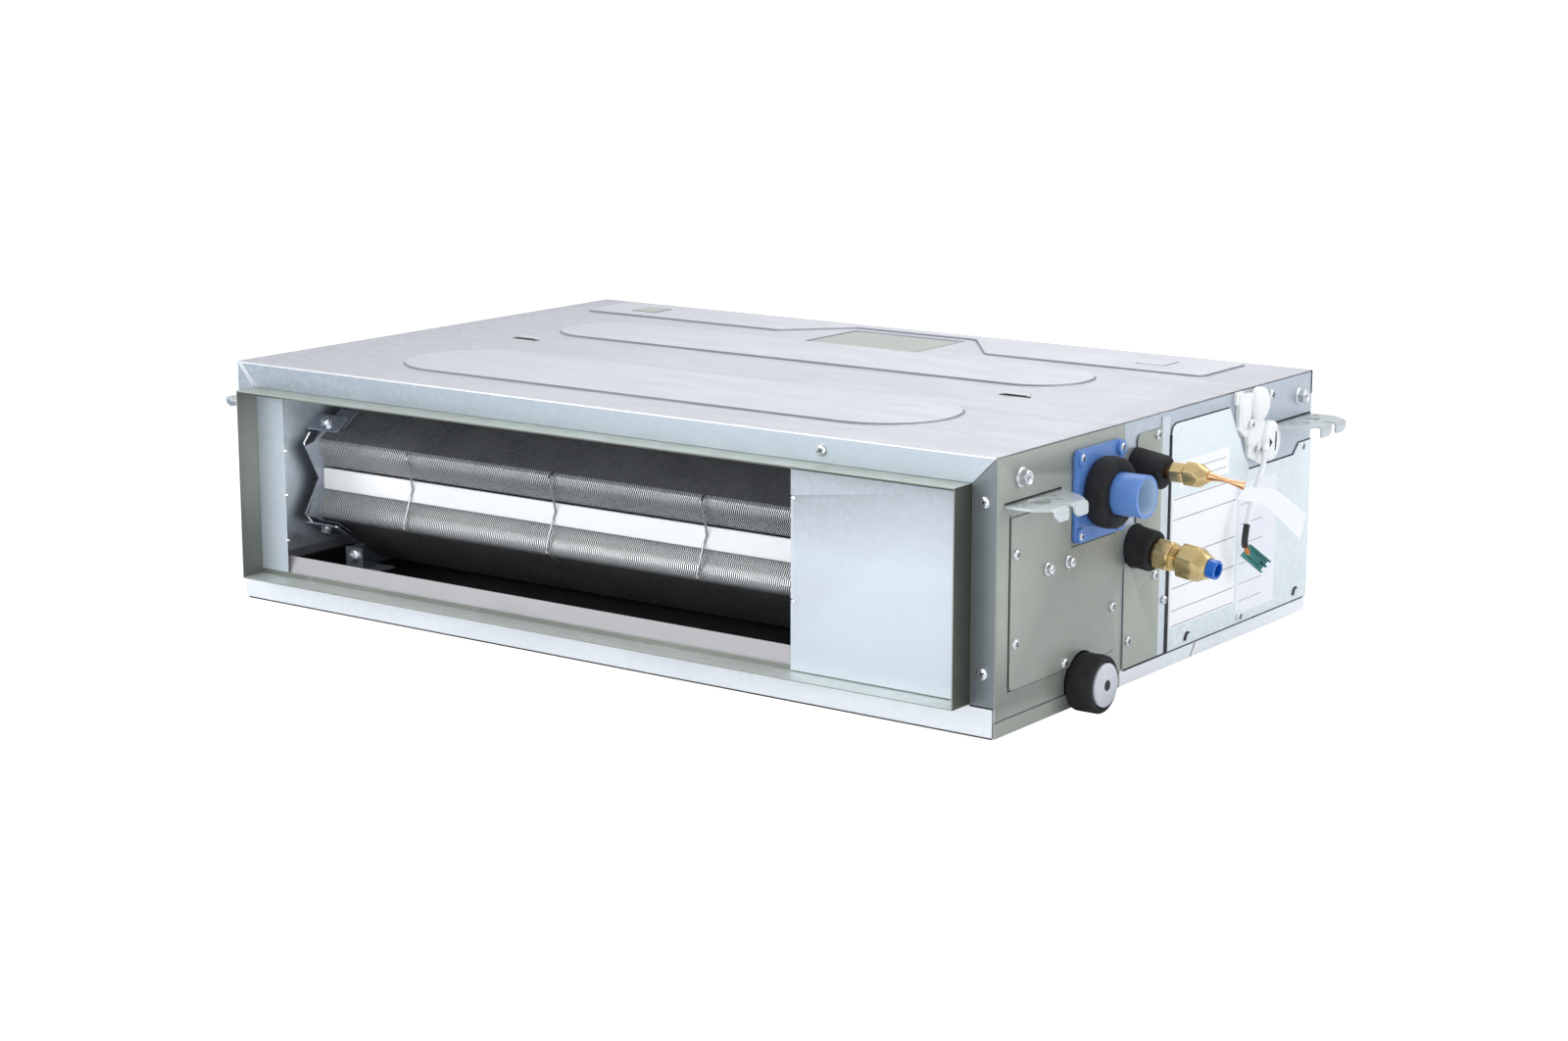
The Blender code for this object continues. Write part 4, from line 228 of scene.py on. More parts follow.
def add_prism(bm, outline, low, high, place=flat, mat=0, holes=()):
    """The outline, with its holes, drawn out from one height to another."""
    loops = [outline, *holes]
    points, inner = filled(loops) if holes else (outline, [range(len(outline))])
    ends = []
    for height in (low, high):
        verts = [bm.verts.new(place(p[0], p[1], height)) for p in points]
        ends.append(verts)
        for face in inner:
            bm.faces.new([verts[i] for i in face]).material_index = mat
    at = 0
    for loop in loops:
        for i in range(len(loop)):
            a, b = at + (i - 1) % len(loop), at + i
            bm.faces.new((ends[0][a], ends[0][b], ends[1][b], ends[1][a])).material_index = mat
        at += len(loop)


def add_box(bm, low, high, mat=0):
    add_prism(bm, rect(low[0], low[1], high[0], high[1]), low[2], high[2], flat, mat)


def join_rings(bm, rings, mat):
    """Faces from each ring to the next, where a ring of one point is a tip."""
    for first, second in zip(rings, rings[1:]):
        sides = max(len(first), len(second))
        low, high = (ring * (sides // len(ring)) for ring in (first, second))
        for i in range(sides):
            face = tuple(dict.fromkeys((low[i - 1], low[i], high[i], high[i - 1])))
            if len(face) > 2:
                bm.faces.new(face).material_index = mat


def hex_radius(angle, across):
    turned_by = (angle + math.pi / 6) % (math.pi / 3) - math.pi / 6
    return across / 2 / math.cos(turned_by)


def add_turned(bm, profile, place, sides=32, mat=0, across=0.0, squash=1.0):
    """A profile of (height, radius) turned about the rule's axis, within a hexagon if across is given."""
    rings = []
    for height, radius in profile:
        if radius == 0:
            rings.append([bm.verts.new(place(0, 0, height))])
            continue
        ring = []
        for i in range(sides):
            a = 2 * math.pi * i / sides
            reach = min(radius, hex_radius(a, across)) if across else radius
            ring.append(bm.verts.new(place(reach * math.cos(a), reach * squash * math.sin(a), height)))
        rings.append(ring)
    join_rings(bm, rings, mat)


def add_tube(bm, path, radius, sides=10, mat=0):
    """A round bar along path; radius is a number or one (across, up) pair for each point."""
    points = [Vector(p) for p in path]
    sizes = [(radius, radius)] * len(points) if isinstance(radius, (int, float)) else radius
    steps = [(b - a).normalized() for a, b in zip(points, points[1:])]
    tangents = [steps[0]] + [(a + b).normalized() for a, b in zip(steps, steps[1:])] + [steps[-1]]
    hint = Vector((0, 0, 1)) if abs(tangents[0].z) < 0.9 else Vector((0, 1, 0))
    up = (hint - tangents[0] * hint.dot(tangents[0])).normalized()
    angles = [2 * math.pi * i / sides for i in range(sides)]
    rings = []
    for point, tangent, (wide, tall) in zip(points, tangents, sizes):
        up = (up - tangent * up.dot(tangent)).normalized()
        side = tangent.cross(up)
        spokes = [side * wide * math.cos(a) + up * tall * math.sin(a) for a in angles]
        rings.append([bm.verts.new(point + spoke) for spoke in spokes])
    join_rings(bm, rings, mat)
    for ring in (rings[0], rings[-1]):
        bm.faces.new(ring).material_index = mat


# From bmesh to piece


def new_object(name, bm):
    """A linked object with the bmesh as its mesh."""
    mesh = bpy.data.meshes.new(name)
    bm.to_mesh(mesh)
    bm.free()
    obj = bpy.data.objects.new(name, mesh)
    bpy.context.scene.collection.objects.link(obj)
    return obj


def settle(obj, mats, body, stands_for, bevel, angle, segments=2):
    """Gives the object its materials, shading and edges, ties it to a body and hides the CAD nodes it stands
    for.
    """
    for mat in mats:
        obj.data.materials.append(mat)
    obj.data.polygons.foreach_set("use_smooth", [True] * len(obj.data.polygons))
    obj.data.set_sharp_from_angle(angle=math.radians(angle))
    if bevel:
        edge = obj.modifiers.new("edges", "BEVEL")
        edge.width = bevel * MM
        edge.segments = segments
        edge.limit_method = "ANGLE"
        edge.angle_limit = math.radians(angle)
        edge.harden_normals = True
    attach(obj, body)
    if stands_for:
        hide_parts(*stands_for)
    return obj


def finish(name, bm, mats, body="case", stands_for=(), bevel=0.0, angle=34.0, weld=True):
    """Turns the bmesh into a piece that rides on a body."""
    if weld:
        bmesh.ops.remove_doubles(bm, verts=bm.verts, dist=1e-4)
    bmesh.ops.recalc_face_normals(bm, faces=bm.faces)
    bmesh.ops.scale(bm, vec=(MM, MM, MM), verts=bm.verts)
    return settle(new_object(name, bm), mats, body, stands_for, bevel, angle)


def finish_sheet(name, bm, mats, stands_for, thickness=1.0):
    """Turns an open surface into a piece of sheet, thickened inwards."""
    bmesh.ops.scale(bm, vec=(MM, MM, MM), verts=bm.verts)
    obj = settle(new_object(name, bm), mats, "case", stands_for, 0, 40)
    thick = obj.modifiers.new("sheet", "SOLIDIFY")
    thick.thickness = thickness * MM
    thick.offset = -1
    even = obj.modifiers.new("even_normals", "WEIGHTED_NORMAL")
    even.keep_sharp = True
    even.weight = 100


def dressed(node, mats, body="case", bevel=0.35, angle=34.0, choose=None):
    """A copy of a CAD node's mesh with softened edges, which stands for it. From a face's centre and normal,
    choose gives the number of its material."""
    bm = bmesh.new()
    bm.from_mesh(nodes[node].data)
    bmesh.ops.remove_doubles(bm, verts=bm.verts, dist=1e-6)
    bmesh.ops.dissolve_limit(bm, angle_limit=math.radians(1.0), verts=bm.verts, edges=bm.edges)
    for face in bm.faces:
        face.material_index = choose(face.calc_center_median() / MM, face.normal) if choose else 0
    obj = new_object(node + "_skin", bm)
    old_normals = obj.data.attributes.get("custom_normal")
    if old_normals:
        obj.data.attributes.remove(old_normals)
    settle(obj, mats, body, (node,), bevel, angle)


# Materials


def fill(tree, socket, value):
    """Links a socket to another one, or sets it to a number, a direction or a colour."""
    if isinstance(value, bpy.types.NodeSocket):
        tree.links.new(value, socket)
    else:
        socket.default_value = (*value, 1) if socket.type == "RGBA" else value


def add_node(tree, kind, **inputs):
    """A shader node with its inputs filled; an underscore in a name stands for a space."""
    node = tree.nodes.new("ShaderNode" + kind)
    for key, value in inputs.items():
        fill(tree, node.inputs[key.replace("_", " ")], value)
    return node


class Shader:
    """A material on a Principled shader, with helpers that mix procedural variation into it."""

    def __init__(self, name, metallic=0.0, **values):
        self.mat = bpy.data.materials.new(name)
        self.mat.use_nodes = True
        self.tree = self.mat.node_tree
        self.normal = None
        self.coords = self.add("TexCoord").outputs["Object"]
        self.set(Metallic=metallic, **values)

    def add(self, kind, **inputs):
        return add_node(self.tree, kind, **inputs)

    def set(self, **values):
        for key, value in values.items():
            fill(self.tree, self.tree.nodes["Principled BSDF"].inputs[key.replace("_", " ")], value)

    def position(self, axis):
        return self.add("SeparateXYZ", Vector=self.coords).outputs[axis]

    def noise(self, scale, detail=4.0, roughness=0.55, stretch=(1, 1, 1)):
        placed = self.add("Mapping", Vector=self.coords, Scale=stretch).outputs["Vector"]
        node = self.add("TexNoise", Vector=placed, Scale=scale, Detail=detail, Roughness=roughness)
        return node.outputs["Fac"]

    def cells(self, scale):
        """A grey value for each crystal of a Voronoi pattern."""
        pattern = self.add("TexVoronoi", Vector=self.coords, Scale=scale)
        return self.add("SeparateColor", Color=pattern.outputs["Color"]).outputs["Red"]

    def ranged(self, value, low, high, start=0.3, end=0.7):
        node = self.add("MapRange", Value=value, From_Min=start, From_Max=end, To_Min=low, To_Max=high)
        return node.outputs["Result"]

    def mixed(self, value, first, second):
        """A colour between two, which may be colours or sockets."""
        node = self.add("Mix")
        node.data_type = "RGBA"
        fill(self.tree, node.inputs["Factor"], value)
        for name, colour in (("A", first), ("B", second)):
            fill(self.tree, next(i for i in node.inputs if i.name == name and i.type == "RGBA"), colour)
        return next(o for o in node.outputs if o.type == "RGBA")

    def clouded(self, scale, detail, dark, light, roughness=0.55, start=0.3, end=0.7):
        """A tone that drifts between a dark and a light one."""
        return self.mixed(self.ranged(self.noise(scale, detail, roughness), 0, 1, start, end), dark, light)

    def rough(self, scale, detail, low, high, stretch=(1, 1, 1)):
        self.set(Roughness=self.ranged(self.noise(scale, detail, stretch=stretch), low, high))

    def bump(self, value, strength, depth=0.0002):
        """Adds a bump on top of the earlier ones."""
        node = self.add("Bump", Strength=strength, Distance=depth, Height=value)
        if self.normal:
            fill(self.tree, node.inputs["Normal"], self.normal)
        self.normal = node.outputs["Normal"]
        self.set(Normal=self.normal)

    def edge_highlighted(self, base, edge, amount=0.6):
        """Sets the base colour, with a painted highlight along the edges."""
        edge_highlight = self.ranged(self.add("NewGeometry").outputs["Pointiness"], 0.0, amount, 0.51, 0.56)
        self.set(Base_Color=self.mixed(edge_highlight, base, edge))


def brighter(colour, factor, most=1.0):
    return tuple(min(most, c * factor) for c in colour)


def sheet_metal(name, dark, light, metallic=0.75, smooth=0.3, dull=0.46, spangle=0.5, painted_fade=()):
    """Zinc-coated sheet: soft clouds, a faint crystal pattern, rolling streaks and a painted highlight along
    the edges.
    Instead of clouds, the tone may fade from dark to light along an axis, from one place to another, as
    painted shade."""
    s = Shader(name, metallic)
    if painted_fade:
        # The fade is painted shade: the tone darkens from one place to another.
        axis, start, end = painted_fade
        tone = s.mixed(s.ranged(s.position(axis), 0, 1, start, end), dark, light)
    else:
        tone = s.clouded(7.0, 3.0, dark, light, 0.55, 0.35, 0.65)
    crystals = s.cells(260.0)
    grain = s.mixed(crystals, brighter(dark, 0.95), brighter(light, 1.07))
    tone = s.mixed(s.ranged(crystals, 0, spangle, 0.2, 1.0), tone, grain)
    s.edge_highlighted(tone, brighter(light, 1.25), 0.5)
    s.rough(34.0, 5.0, smooth, dull, (0.4, 1.6, 1.6))
    s.bump(s.noise(9.0, 2.0), 0.25, 0.0012)
    s.bump(crystals, 0.03, 0.0001)
    return s.mat


zinc = sheet_metal("zinc_coated_steel", (0.53, 0.565, 0.61), (0.66, 0.70, 0.75))
# The top sheet, darker towards its left end as painted shade.
zinc_top_shade_fade = sheet_metal("zinc_coated_top_shade_fade", (0.49, 0.495, 0.52), (0.665, 0.665, 0.695), 0.7, 0.34, 0.5, 0.5,
                       ("X", -0.42, -0.08))
zinc_pale = sheet_metal("zinc_coated_plate", (0.50, 0.55, 0.59), (0.60, 0.65, 0.69), 0.5, 0.38, 0.52, 0.7)
# The electrical cover, darker towards its bottom as painted shade.
zinc_cover_shade_fade = sheet_metal("zinc_coated_cover_shade_fade", (0.46, 0.51, 0.555), (0.74, 0.80, 0.84), 0.5, 0.36, 0.5, 0.5,
                         ("Z", 0.02, 0.17))
# A darker copy of the zinc for the front band faces, lighter towards the right: painted shade.
zinc_band_shade = sheet_metal("zinc_coated_band_painted_shade", (0.165, 0.20, 0.245), (0.47, 0.525, 0.565), 0.7, 0.3, 0.42, 0.4,
                        ("X", -0.37, 0.12))
# The closing plate, darker towards its top under the collar: painted shade.
zinc_closing_shade_fade = sheet_metal("zinc_coated_closing_plate_shade_fade", (0.09, 0.10, 0.108), (0.57, 0.62, 0.66), 0.5, 0.38,
                           0.52, 0.2, ("Z", 0.183, 0.112))
zinc_bright = sheet_metal("zinc_coated_underside", (0.70, 0.74, 0.78), (0.82, 0.86, 0.90), 0.6)
# Darker zinc for the shoulders of the pressed ribs: painted shade.
zinc_rib_shade = sheet_metal("zinc_coated_rib_painted_shade", (0.22, 0.23, 0.27), (0.28, 0.29, 0.33), 0.5, 0.4, 0.55)
zinc_rear = sheet_metal("zinc_coated_rear", (0.40, 0.44, 0.49), (0.50, 0.55, 0.60))
# The front foot strip, darker towards its top as painted shade.
zinc_foot_shade_fade = sheet_metal("zinc_coated_foot_shade_fade", (0.36, 0.41, 0.45), (0.48, 0.53, 0.57), 0.5, 0.38, 0.52, 0.5,
                        ("Z", 0.15, 0.05))
# A dark copy of the zinc for the front right lip: painted shade.
zinc_lip_shade = sheet_metal("zinc_coated_lip_painted_shade", (0.15, 0.17, 0.175), (0.20, 0.225, 0.235), 0.6, 0.3, 0.42, 0.4)
zinc_lug = sheet_metal("zinc_coated_lug", (0.44, 0.47, 0.48), (0.58, 0.615, 0.625), 0.6, 0.3, 0.42, 0.3)
# The left wall inside, darker deeper into the case: painted shade.
zinc_wall_shade = sheet_metal("zinc_coated_wall_painted_shade", (0.11, 0.132, 0.165), (0.47, 0.53, 0.585), 0.15, 0.35, 0.5, 0.3,
                        ("Y", -0.165, -0.234))
zinc_dark = sheet_metal("zinc_coated_inside", (0.30, 0.34, 0.39), (0.42, 0.47, 0.53), 0.8, 0.16, 0.3)
# A dark copy of the zinc for the coil's end plate, deep in the case: painted shade.
zinc_coil_end_shade = sheet_metal("zinc_coated_coil_plate_painted_shade", (0.16, 0.18, 0.21), (0.24, 0.27, 0.31), 0.4, 0.3, 0.42,
                            0.4)
pad_green = sheet_metal("green_grey_pad", (0.36, 0.39, 0.35), (0.44, 0.47, 0.43), 0.45, 0.4, 0.55)


def film_metal(name, dark, light):
    """Sheet under a green-grey protective coat, with faint stains and streaks, and a painted highlight along
    the edges.
    """
    s = Shader(name, 0.55)
    tone = s.clouded(11.0, 5.0, dark, light, 0.6)
    stains = s.ranged(s.noise(60.0, 3.0, 0.7, (1, 1, 0.5)), 0, 0.45, 0.62, 0.72)
    s.edge_highlighted(s.mixed(stains, tone, brighter(light, 1.45, 2)), brighter(light, 2, 2), 0.7)
    s.rough(45.0, 6.0, 0.34, 0.56)
    s.bump(s.noise(500.0, 2.0), 0.05, 0.0001)
    s.bump(s.noise(14.0, 2.0), 0.2, 0.001)
    return s.mat


film = film_metal("coated_green_grey_steel", (0.19, 0.205, 0.18), (0.25, 0.265, 0.235))
# A paler copy of the coat for the collar's lower flange is painted light; a darker copy for its right side is
# painted shade.
film_lit = film_metal("coated_green_grey_painted_light", (0.66, 0.70, 0.67), (0.78, 0.82, 0.79))
film_shade = film_metal("coated_green_grey_painted_shade", (0.045, 0.048, 0.038), (0.065, 0.068, 0.055))


def sill_metal():
    s = Shader("pinkish_grey_sill", 0.1)
    # Painted highlight along the sill's edges.
    s.edge_highlighted(s.clouded(9.0, 4.0, (0.33, 0.312, 0.32), (0.39, 0.37, 0.378)), (0.5, 0.49, 0.5), 0.5)
    s.rough(70.0, 4.0, 0.5, 0.66, (0.2, 1, 1))
    s.bump(s.noise(260.0, 2.0), 0.05, 0.0001)
    return s.mat


def fin_metal(name, dark, light, metallic, low, high):
    """Thin aluminium in a painted tone: light as a painted highlight on lit edges, dark as painted shade
    deeper in.
    """
    s = Shader(name, metallic)
    tone = s.clouded(26.0, 4.0, dark, light)
    s.set(Base_Color=s.mixed(s.ranged(s.cells(520.0), 0, 0.5), tone, brighter(light, 1.15)))
    s.rough(120.0, 3.0, low, high)
    return s.mat


def plain_metal(name, dark, light, metallic=1.0, low=0.2, high=0.36, grain=0.05):
    """Machined or drawn metal with a fine grain and a painted highlight along the edges."""
    s = Shader(name, metallic)
    s.edge_highlighted(s.clouded(60.0, 4.0, dark, light), brighter(light, 1.25))
    s.rough(180.0, 4.0, low, high)
    s.bump(s.noise(300.0, 3.0), grain, 0.0001)
    return s.mat


def plastic(name, dark, light, low=0.28, high=0.42, grain=0.04, coat=0.0):
    """Moulded plastic with a fine grain, and a clear coat where it shines."""
    s = Shader(name, Coat_Weight=coat)
    s.set(Base_Color=s.clouded(28.0, 3.0, dark, light))
    s.rough(90.0, 4.0, low, high)
    s.bump(s.noise(700.0, 3.0), grain, 0.0002)
    return s.mat


def foam_rubber(name, tone, cell=0.5):
    """Closed-cell foam: small pits and a dull skin."""
    s = Shader(name, Specular_IOR_Level=0.35)
    pits = s.cells(1500.0)
    s.set(Base_Color=s.clouded(45.0, 5.0, tone, tuple(c * 2.4 + 0.006 for c in tone)))
    s.rough(60.0, 3.0, 0.68, 0.92)
    s.bump(s.noise(420.0, 4.0), cell, 0.0005)
    s.bump(pits, cell * 0.4, 0.0002)
    return s.mat


def paper(name, light, dark):
    s = Shader(name)
    s.set(Base_Color=s.clouded(16.0, 4.0, dark, light))
    s.rough(60.0, 3.0, 0.42, 0.6)
    s.bump(s.noise(12.0, 2.0), 0.15, 0.0008)
    return s.mat


sill_finish = sill_metal()
# Lit, shaded and half-shaded copies of the fin aluminium: painted highlight and painted shade.
fin_lit = fin_metal("aluminium_fin_painted_highlight", (0.80, 0.82, 0.84), (0.94, 0.95, 0.96), 0.45, 0.28, 0.45)
fin_shade = fin_metal("aluminium_fin_painted_shade", (0.10, 0.105, 0.11), (0.16, 0.165, 0.17), 0.6, 0.4, 0.6)
fin_half_shade = fin_metal("aluminium_fin_painted_half_shade", (0.26, 0.265, 0.27), (0.36, 0.365, 0.37), 0.7, 0.3, 0.45)
steel = plain_metal("bright_screw_steel", (0.60, 0.62, 0.65), (0.80, 0.82, 0.85), 0.9, 0.22, 0.34)
# Dark tone for screw recesses and slots: painted shade.
recess_shade = plain_metal("screw_recess_painted_shade", (0.10, 0.11, 0.12), (0.18, 0.19, 0.20), 0.8, 0.35, 0.5)
wire_steel = plain_metal("spring_wire", (0.34, 0.34, 0.34), (0.52, 0.52, 0.52), 0.9, 0.25, 0.4)
brass = plain_metal("turned_brass", (0.56, 0.41, 0.18), (0.70, 0.54, 0.27), 0.9, 0.24, 0.32, 0.01)
copper = plain_metal("drawn_copper", (0.66, 0.30, 0.16), (0.84, 0.47, 0.26), 1.0, 0.18, 0.36)
# White strip tone, also used for lines of painted highlight on edges.
white_strip_and_highlight = plain_metal("white_aluminium_strip_and_painted_highlight", (0.95, 0.96, 0.97), (0.99, 0.99, 1.0), 0.0, 0.35, 0.5)
core_shade = plain_metal("coil_depths_painted_shade", (0.055, 0.06, 0.065), (0.10, 0.105, 0.11), 0.6, 0.4, 0.6)
black_foam = foam_rubber("black_foam_sleeve", (0.009, 0.009, 0.0095))
pan_foam = foam_rubber("black_pan_foam", (0.004, 0.0038, 0.004), 0.25)
blue_plastic = plastic("blue_moulded_plastic", (0.10, 0.235, 0.60), (0.145, 0.30, 0.69), coat=0.15)
blue_bore_lit = plastic("blue_moulded_bore_painted_light", (0.52, 0.68, 0.88), (0.64, 0.78, 0.94), 0.2, 0.3, coat=0.3)
cap_blue = plastic("bright_blue_plug", (0.004, 0.12, 0.55), (0.01, 0.20, 0.72), 0.18, 0.3, coat=0.3)
nylon = plastic("white_nylon", (0.86, 0.88, 0.87), (0.93, 0.94, 0.93), 0.25, 0.4, 0.03)
teal = plastic("teal_connector", (0.012, 0.12, 0.105), (0.05, 0.27, 0.25), 0.35, 0.5)
black_plastic = plastic("black_plastic", (0.008, 0.008, 0.009), (0.02, 0.02, 0.022), 0.3, 0.5)
grey_plastic = plastic("pale_grey_plug", (0.56, 0.58, 0.63), (0.68, 0.70, 0.75), 0.35, 0.5, 0.08)
orange = plastic("orange_wire_skin", (0.42, 0.12, 0.02), (0.68, 0.24, 0.05), 0.35, 0.5)
sheath = plastic("white_lead_sheath", (0.78, 0.80, 0.82), (0.90, 0.92, 0.93), 0.35, 0.5)
board_green = plastic("circuit_board", (0.01, 0.10, 0.04), (0.02, 0.16, 0.07), 0.35, 0.5, 0.1)
gap_dark = plastic("shadow_gap", (0.006, 0.006, 0.007), (0.012, 0.012, 0.013), 0.6, 0.8)
label = paper("blank_white_label", (0.97, 0.975, 0.985), (0.94, 0.945, 0.96))
label_blue = paper("blank_blue_white_label", (0.86, 0.88, 0.93), (0.82, 0.84, 0.90))
tag_paper = paper("blank_tag_card", (0.99, 0.99, 0.99), (0.96, 0.96, 0.96))
rule_grey = paper("pale_rule", (0.40, 0.41, 0.43), (0.32, 0.33, 0.35))


# The lead comes first


def sensor_lead():
    """The white lead with a black sleeve at its end and two wires into the connector."""
    bm = bmesh.new()
    add_tube(bm, curved(LEAD_ROUTE[:11], 4), LEAD_R, 16, 0)
    add_tube(bm, curved(LEAD_ROUTE[9:13], 4), LEAD_R + 0.4, 16, 1)
    for side in (-1, 1):
        wires = [Vector(p) + Vector((0.25, 0.9 * side, 0.5 * side)) for p in LEAD_ROUTE[12:]]
        add_tube(bm, curved(wires, 4), LEAD_R / 2, 10, 2)
    lead = finish("lead_with_shrink_sleeve", bm, [sheath, black_plastic, orange], stands_for=("sensor_lead",),
                  angle=60)
    plug = connector()


def connector():
    """The teal housing with its open mouth, latch bar and ribs."""
    bm = bmesh.new()
    low, high = (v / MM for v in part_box("lead_connector"))
    end, half, thick = 10.5, 6.0, 3.0
    mouth = end - 7
    run = Vector((0.46, 0.62, -0.64)).normalized()
    wide = run.cross(Vector((0.70, -0.71, 0.0)).normalized()).normalized()
    place = axes((low + high) / 2 + Vector((1.5, -1.5, 1.5)), wide, run, wide.cross(run))
    add_prism(bm, rect(-half, -end, half, mouth + 0.5), -thick, thick, place)
    for x0, x1 in ((-half, -half + 1.6), (half - 1.6, half), (-1.2, 0.8)):
        add_prism(bm, rect(x0, mouth, x1, end), -thick, thick, place)
    for z0, z1 in ((-thick, -thick + 1.2), (thick - 1.2, thick)):
        add_prism(bm, rect(-half, mouth, half, end - 2.2), z0, z1, place)
    add_prism(bm, rect(-half + 1.4, mouth, half - 1.4, end - 5.6), -thick + 1, thick - 1, place, 1)
    for x in (-3.4, 3.0):
        add_prism(bm, rect(x - 0.6, -end + 1, x + 0.6, end - 8), thick - 0.2, thick, place)
    return finish("lead_plug", bm, [teal, black_plastic], stands_for=("lead_connector",),
                  bevel=0.3)


sensor_lead()


# Screws, bolts and small pressed marks


def add_screw(bm, at, direction, radius=3.9, height=2.4):
    """A domed head with a crossed recess, drawn as a dark cross of painted shade."""
    place = along(at, direction, 0.4)
    profile = [(0, radius), (0.8, radius), (1.2, radius * 0.98)]
    for k in range(1, 6):
        a = math.pi / 2 * k / 6
        profile.append((1.2 + (height - 1.2) * math.sin(a), radius * 0.98 * math.cos(a)))
    profile.append((height, 0))
    add_turned(bm, profile, place, 24)
    arm, width = radius * 0.56, radius * 0.17
    for x, y in ((arm, width), (width, arm)):
        add_prism(bm, rect(-x, -y, x, y), height - 0.5, height + 0.06, place, 1)


def add_hex_screw(bm, at, direction, across=6.6, flange=4.8):
    """A slotted hexagon head on a round flange; the slot is a dark bar of painted shade."""
    place = along(at, direction, 0.3)
    top = 4.2
    add_turned(bm, [(0, flange), (0.7, flange), (1.0, flange * 0.9), (1.0, across * 0.45)], place, 30)
    side = [(0.8, across), (top - 0.7, across * 0.575), (top - 0.2, across * 0.53), (top, across * 0.45),
            (top, 0)]
    add_turned(bm, side, place, 36, 0, across)
    add_prism(bm, rect(-across * 0.32, -0.5, across * 0.32, 0.5), top - 0.4, top + 0.05, place, 1)


def screws():
    """The screws of the case: on the right side's plates, on the case itself, and on the clamps."""
    bm = bmesh.new()
    for x, radius, places in (
        (PLATE_X, 3.9, ((-216, 128), (-216, 64), (-148, 36), (-81, 65))),
        (PLATE_X, 3.6, ((-18, 184), (-18, 77), (-57, 34))),
        (PLATE_X, 3.2, ((-2.5, 55),)), (PLATE_X, 4.2, ((121, 18),)),
        (RIGHT, 4.2, ((225, 139),)), (RIGHT, 4.4, ((110, 194), (168, 189))),
        (PLATE_X + 4.5, 3.4, ((123.5, 172.0), (137.5, 150.5))),
    ):
        for y, z in places:
            add_screw(bm, (x, y, z), TO_RIGHT, radius)
    for y in (-173, -144):
        add_hex_screw(bm, (PLATE_X, y, 110), TO_RIGHT)
    for x, z in ((223, 189), (360.6, 167.6), (360.6, 46.1), (-360.6, 46.1)):
        add_screw(bm, (x, FRONT, z), TO_FRONT, 4.4)
    for x, z in ((200, 189), (361, 46.1), (361, 167.6)):
        for side in (-1, 1):
            add_screw(bm, (side * x, REAR, z), TO_REAR, 4.2)
    for y, z in ((-200, 100), (0, 176), (200, 100)):
        for height in (26, z):
            add_screw(bm, (-RIGHT, y, height), TO_LEFT, 4.2)
    finish("case_screws", bm, [steel, recess_shade], bevel=0.08)


screws()


# Sheet parts of the case


def pressed_shapes():
    """The ribs and the hatch: each an outline, how far it rises and how wide its shoulder is."""
    rise, shoulder = 1.6, 2.6
    shapes = []
    for x0, x1, y0, y1 in ((-264.0, 262.0, -190.0, -70.0), (-274.0, 257.0, 28.0, 122.0)):
        shapes.append((rounded(rect(x0, y0, x1, y1), (y1 - y0) / 2 - 0.5, 22), rise, shoulder))
    shapes.append((rounded(rect(-58, 127, 58, 207), 3, 4), -1.2, 0.8))
    left, right, back, jog = -333, 318, 230, 215
    rear_rib = [(left, 162), (-112, 162), (-62, jog), (62, jog), (112, 150), (right, 150), (right, back),
                (left, back)]
    shapes.append((rounded(rear_rib, 9, 8), rise, shoulder))
    return shapes


def press(bm, outline, rise, slope, steps=5):
    """A pressed shape with soft shoulders: most of the shoulder in darker sheet as painted shade, the rest in
    plain sheet.
    """
    rings = []
    for k in range(steps + 1):
        t = k / steps
        height = CASE_H + rise * (t * t * (3 - 2 * t))
        loop = inset(outline, slope * 0.8 * t) if k else outline
        rings.append([bm.verts.new((x, y, height)) for x, y in loop])
    join_rings(bm, rings[:-1], 1)
    join_rings(bm, rings[-2:], 0)
    bm.faces.new(rings[-1])


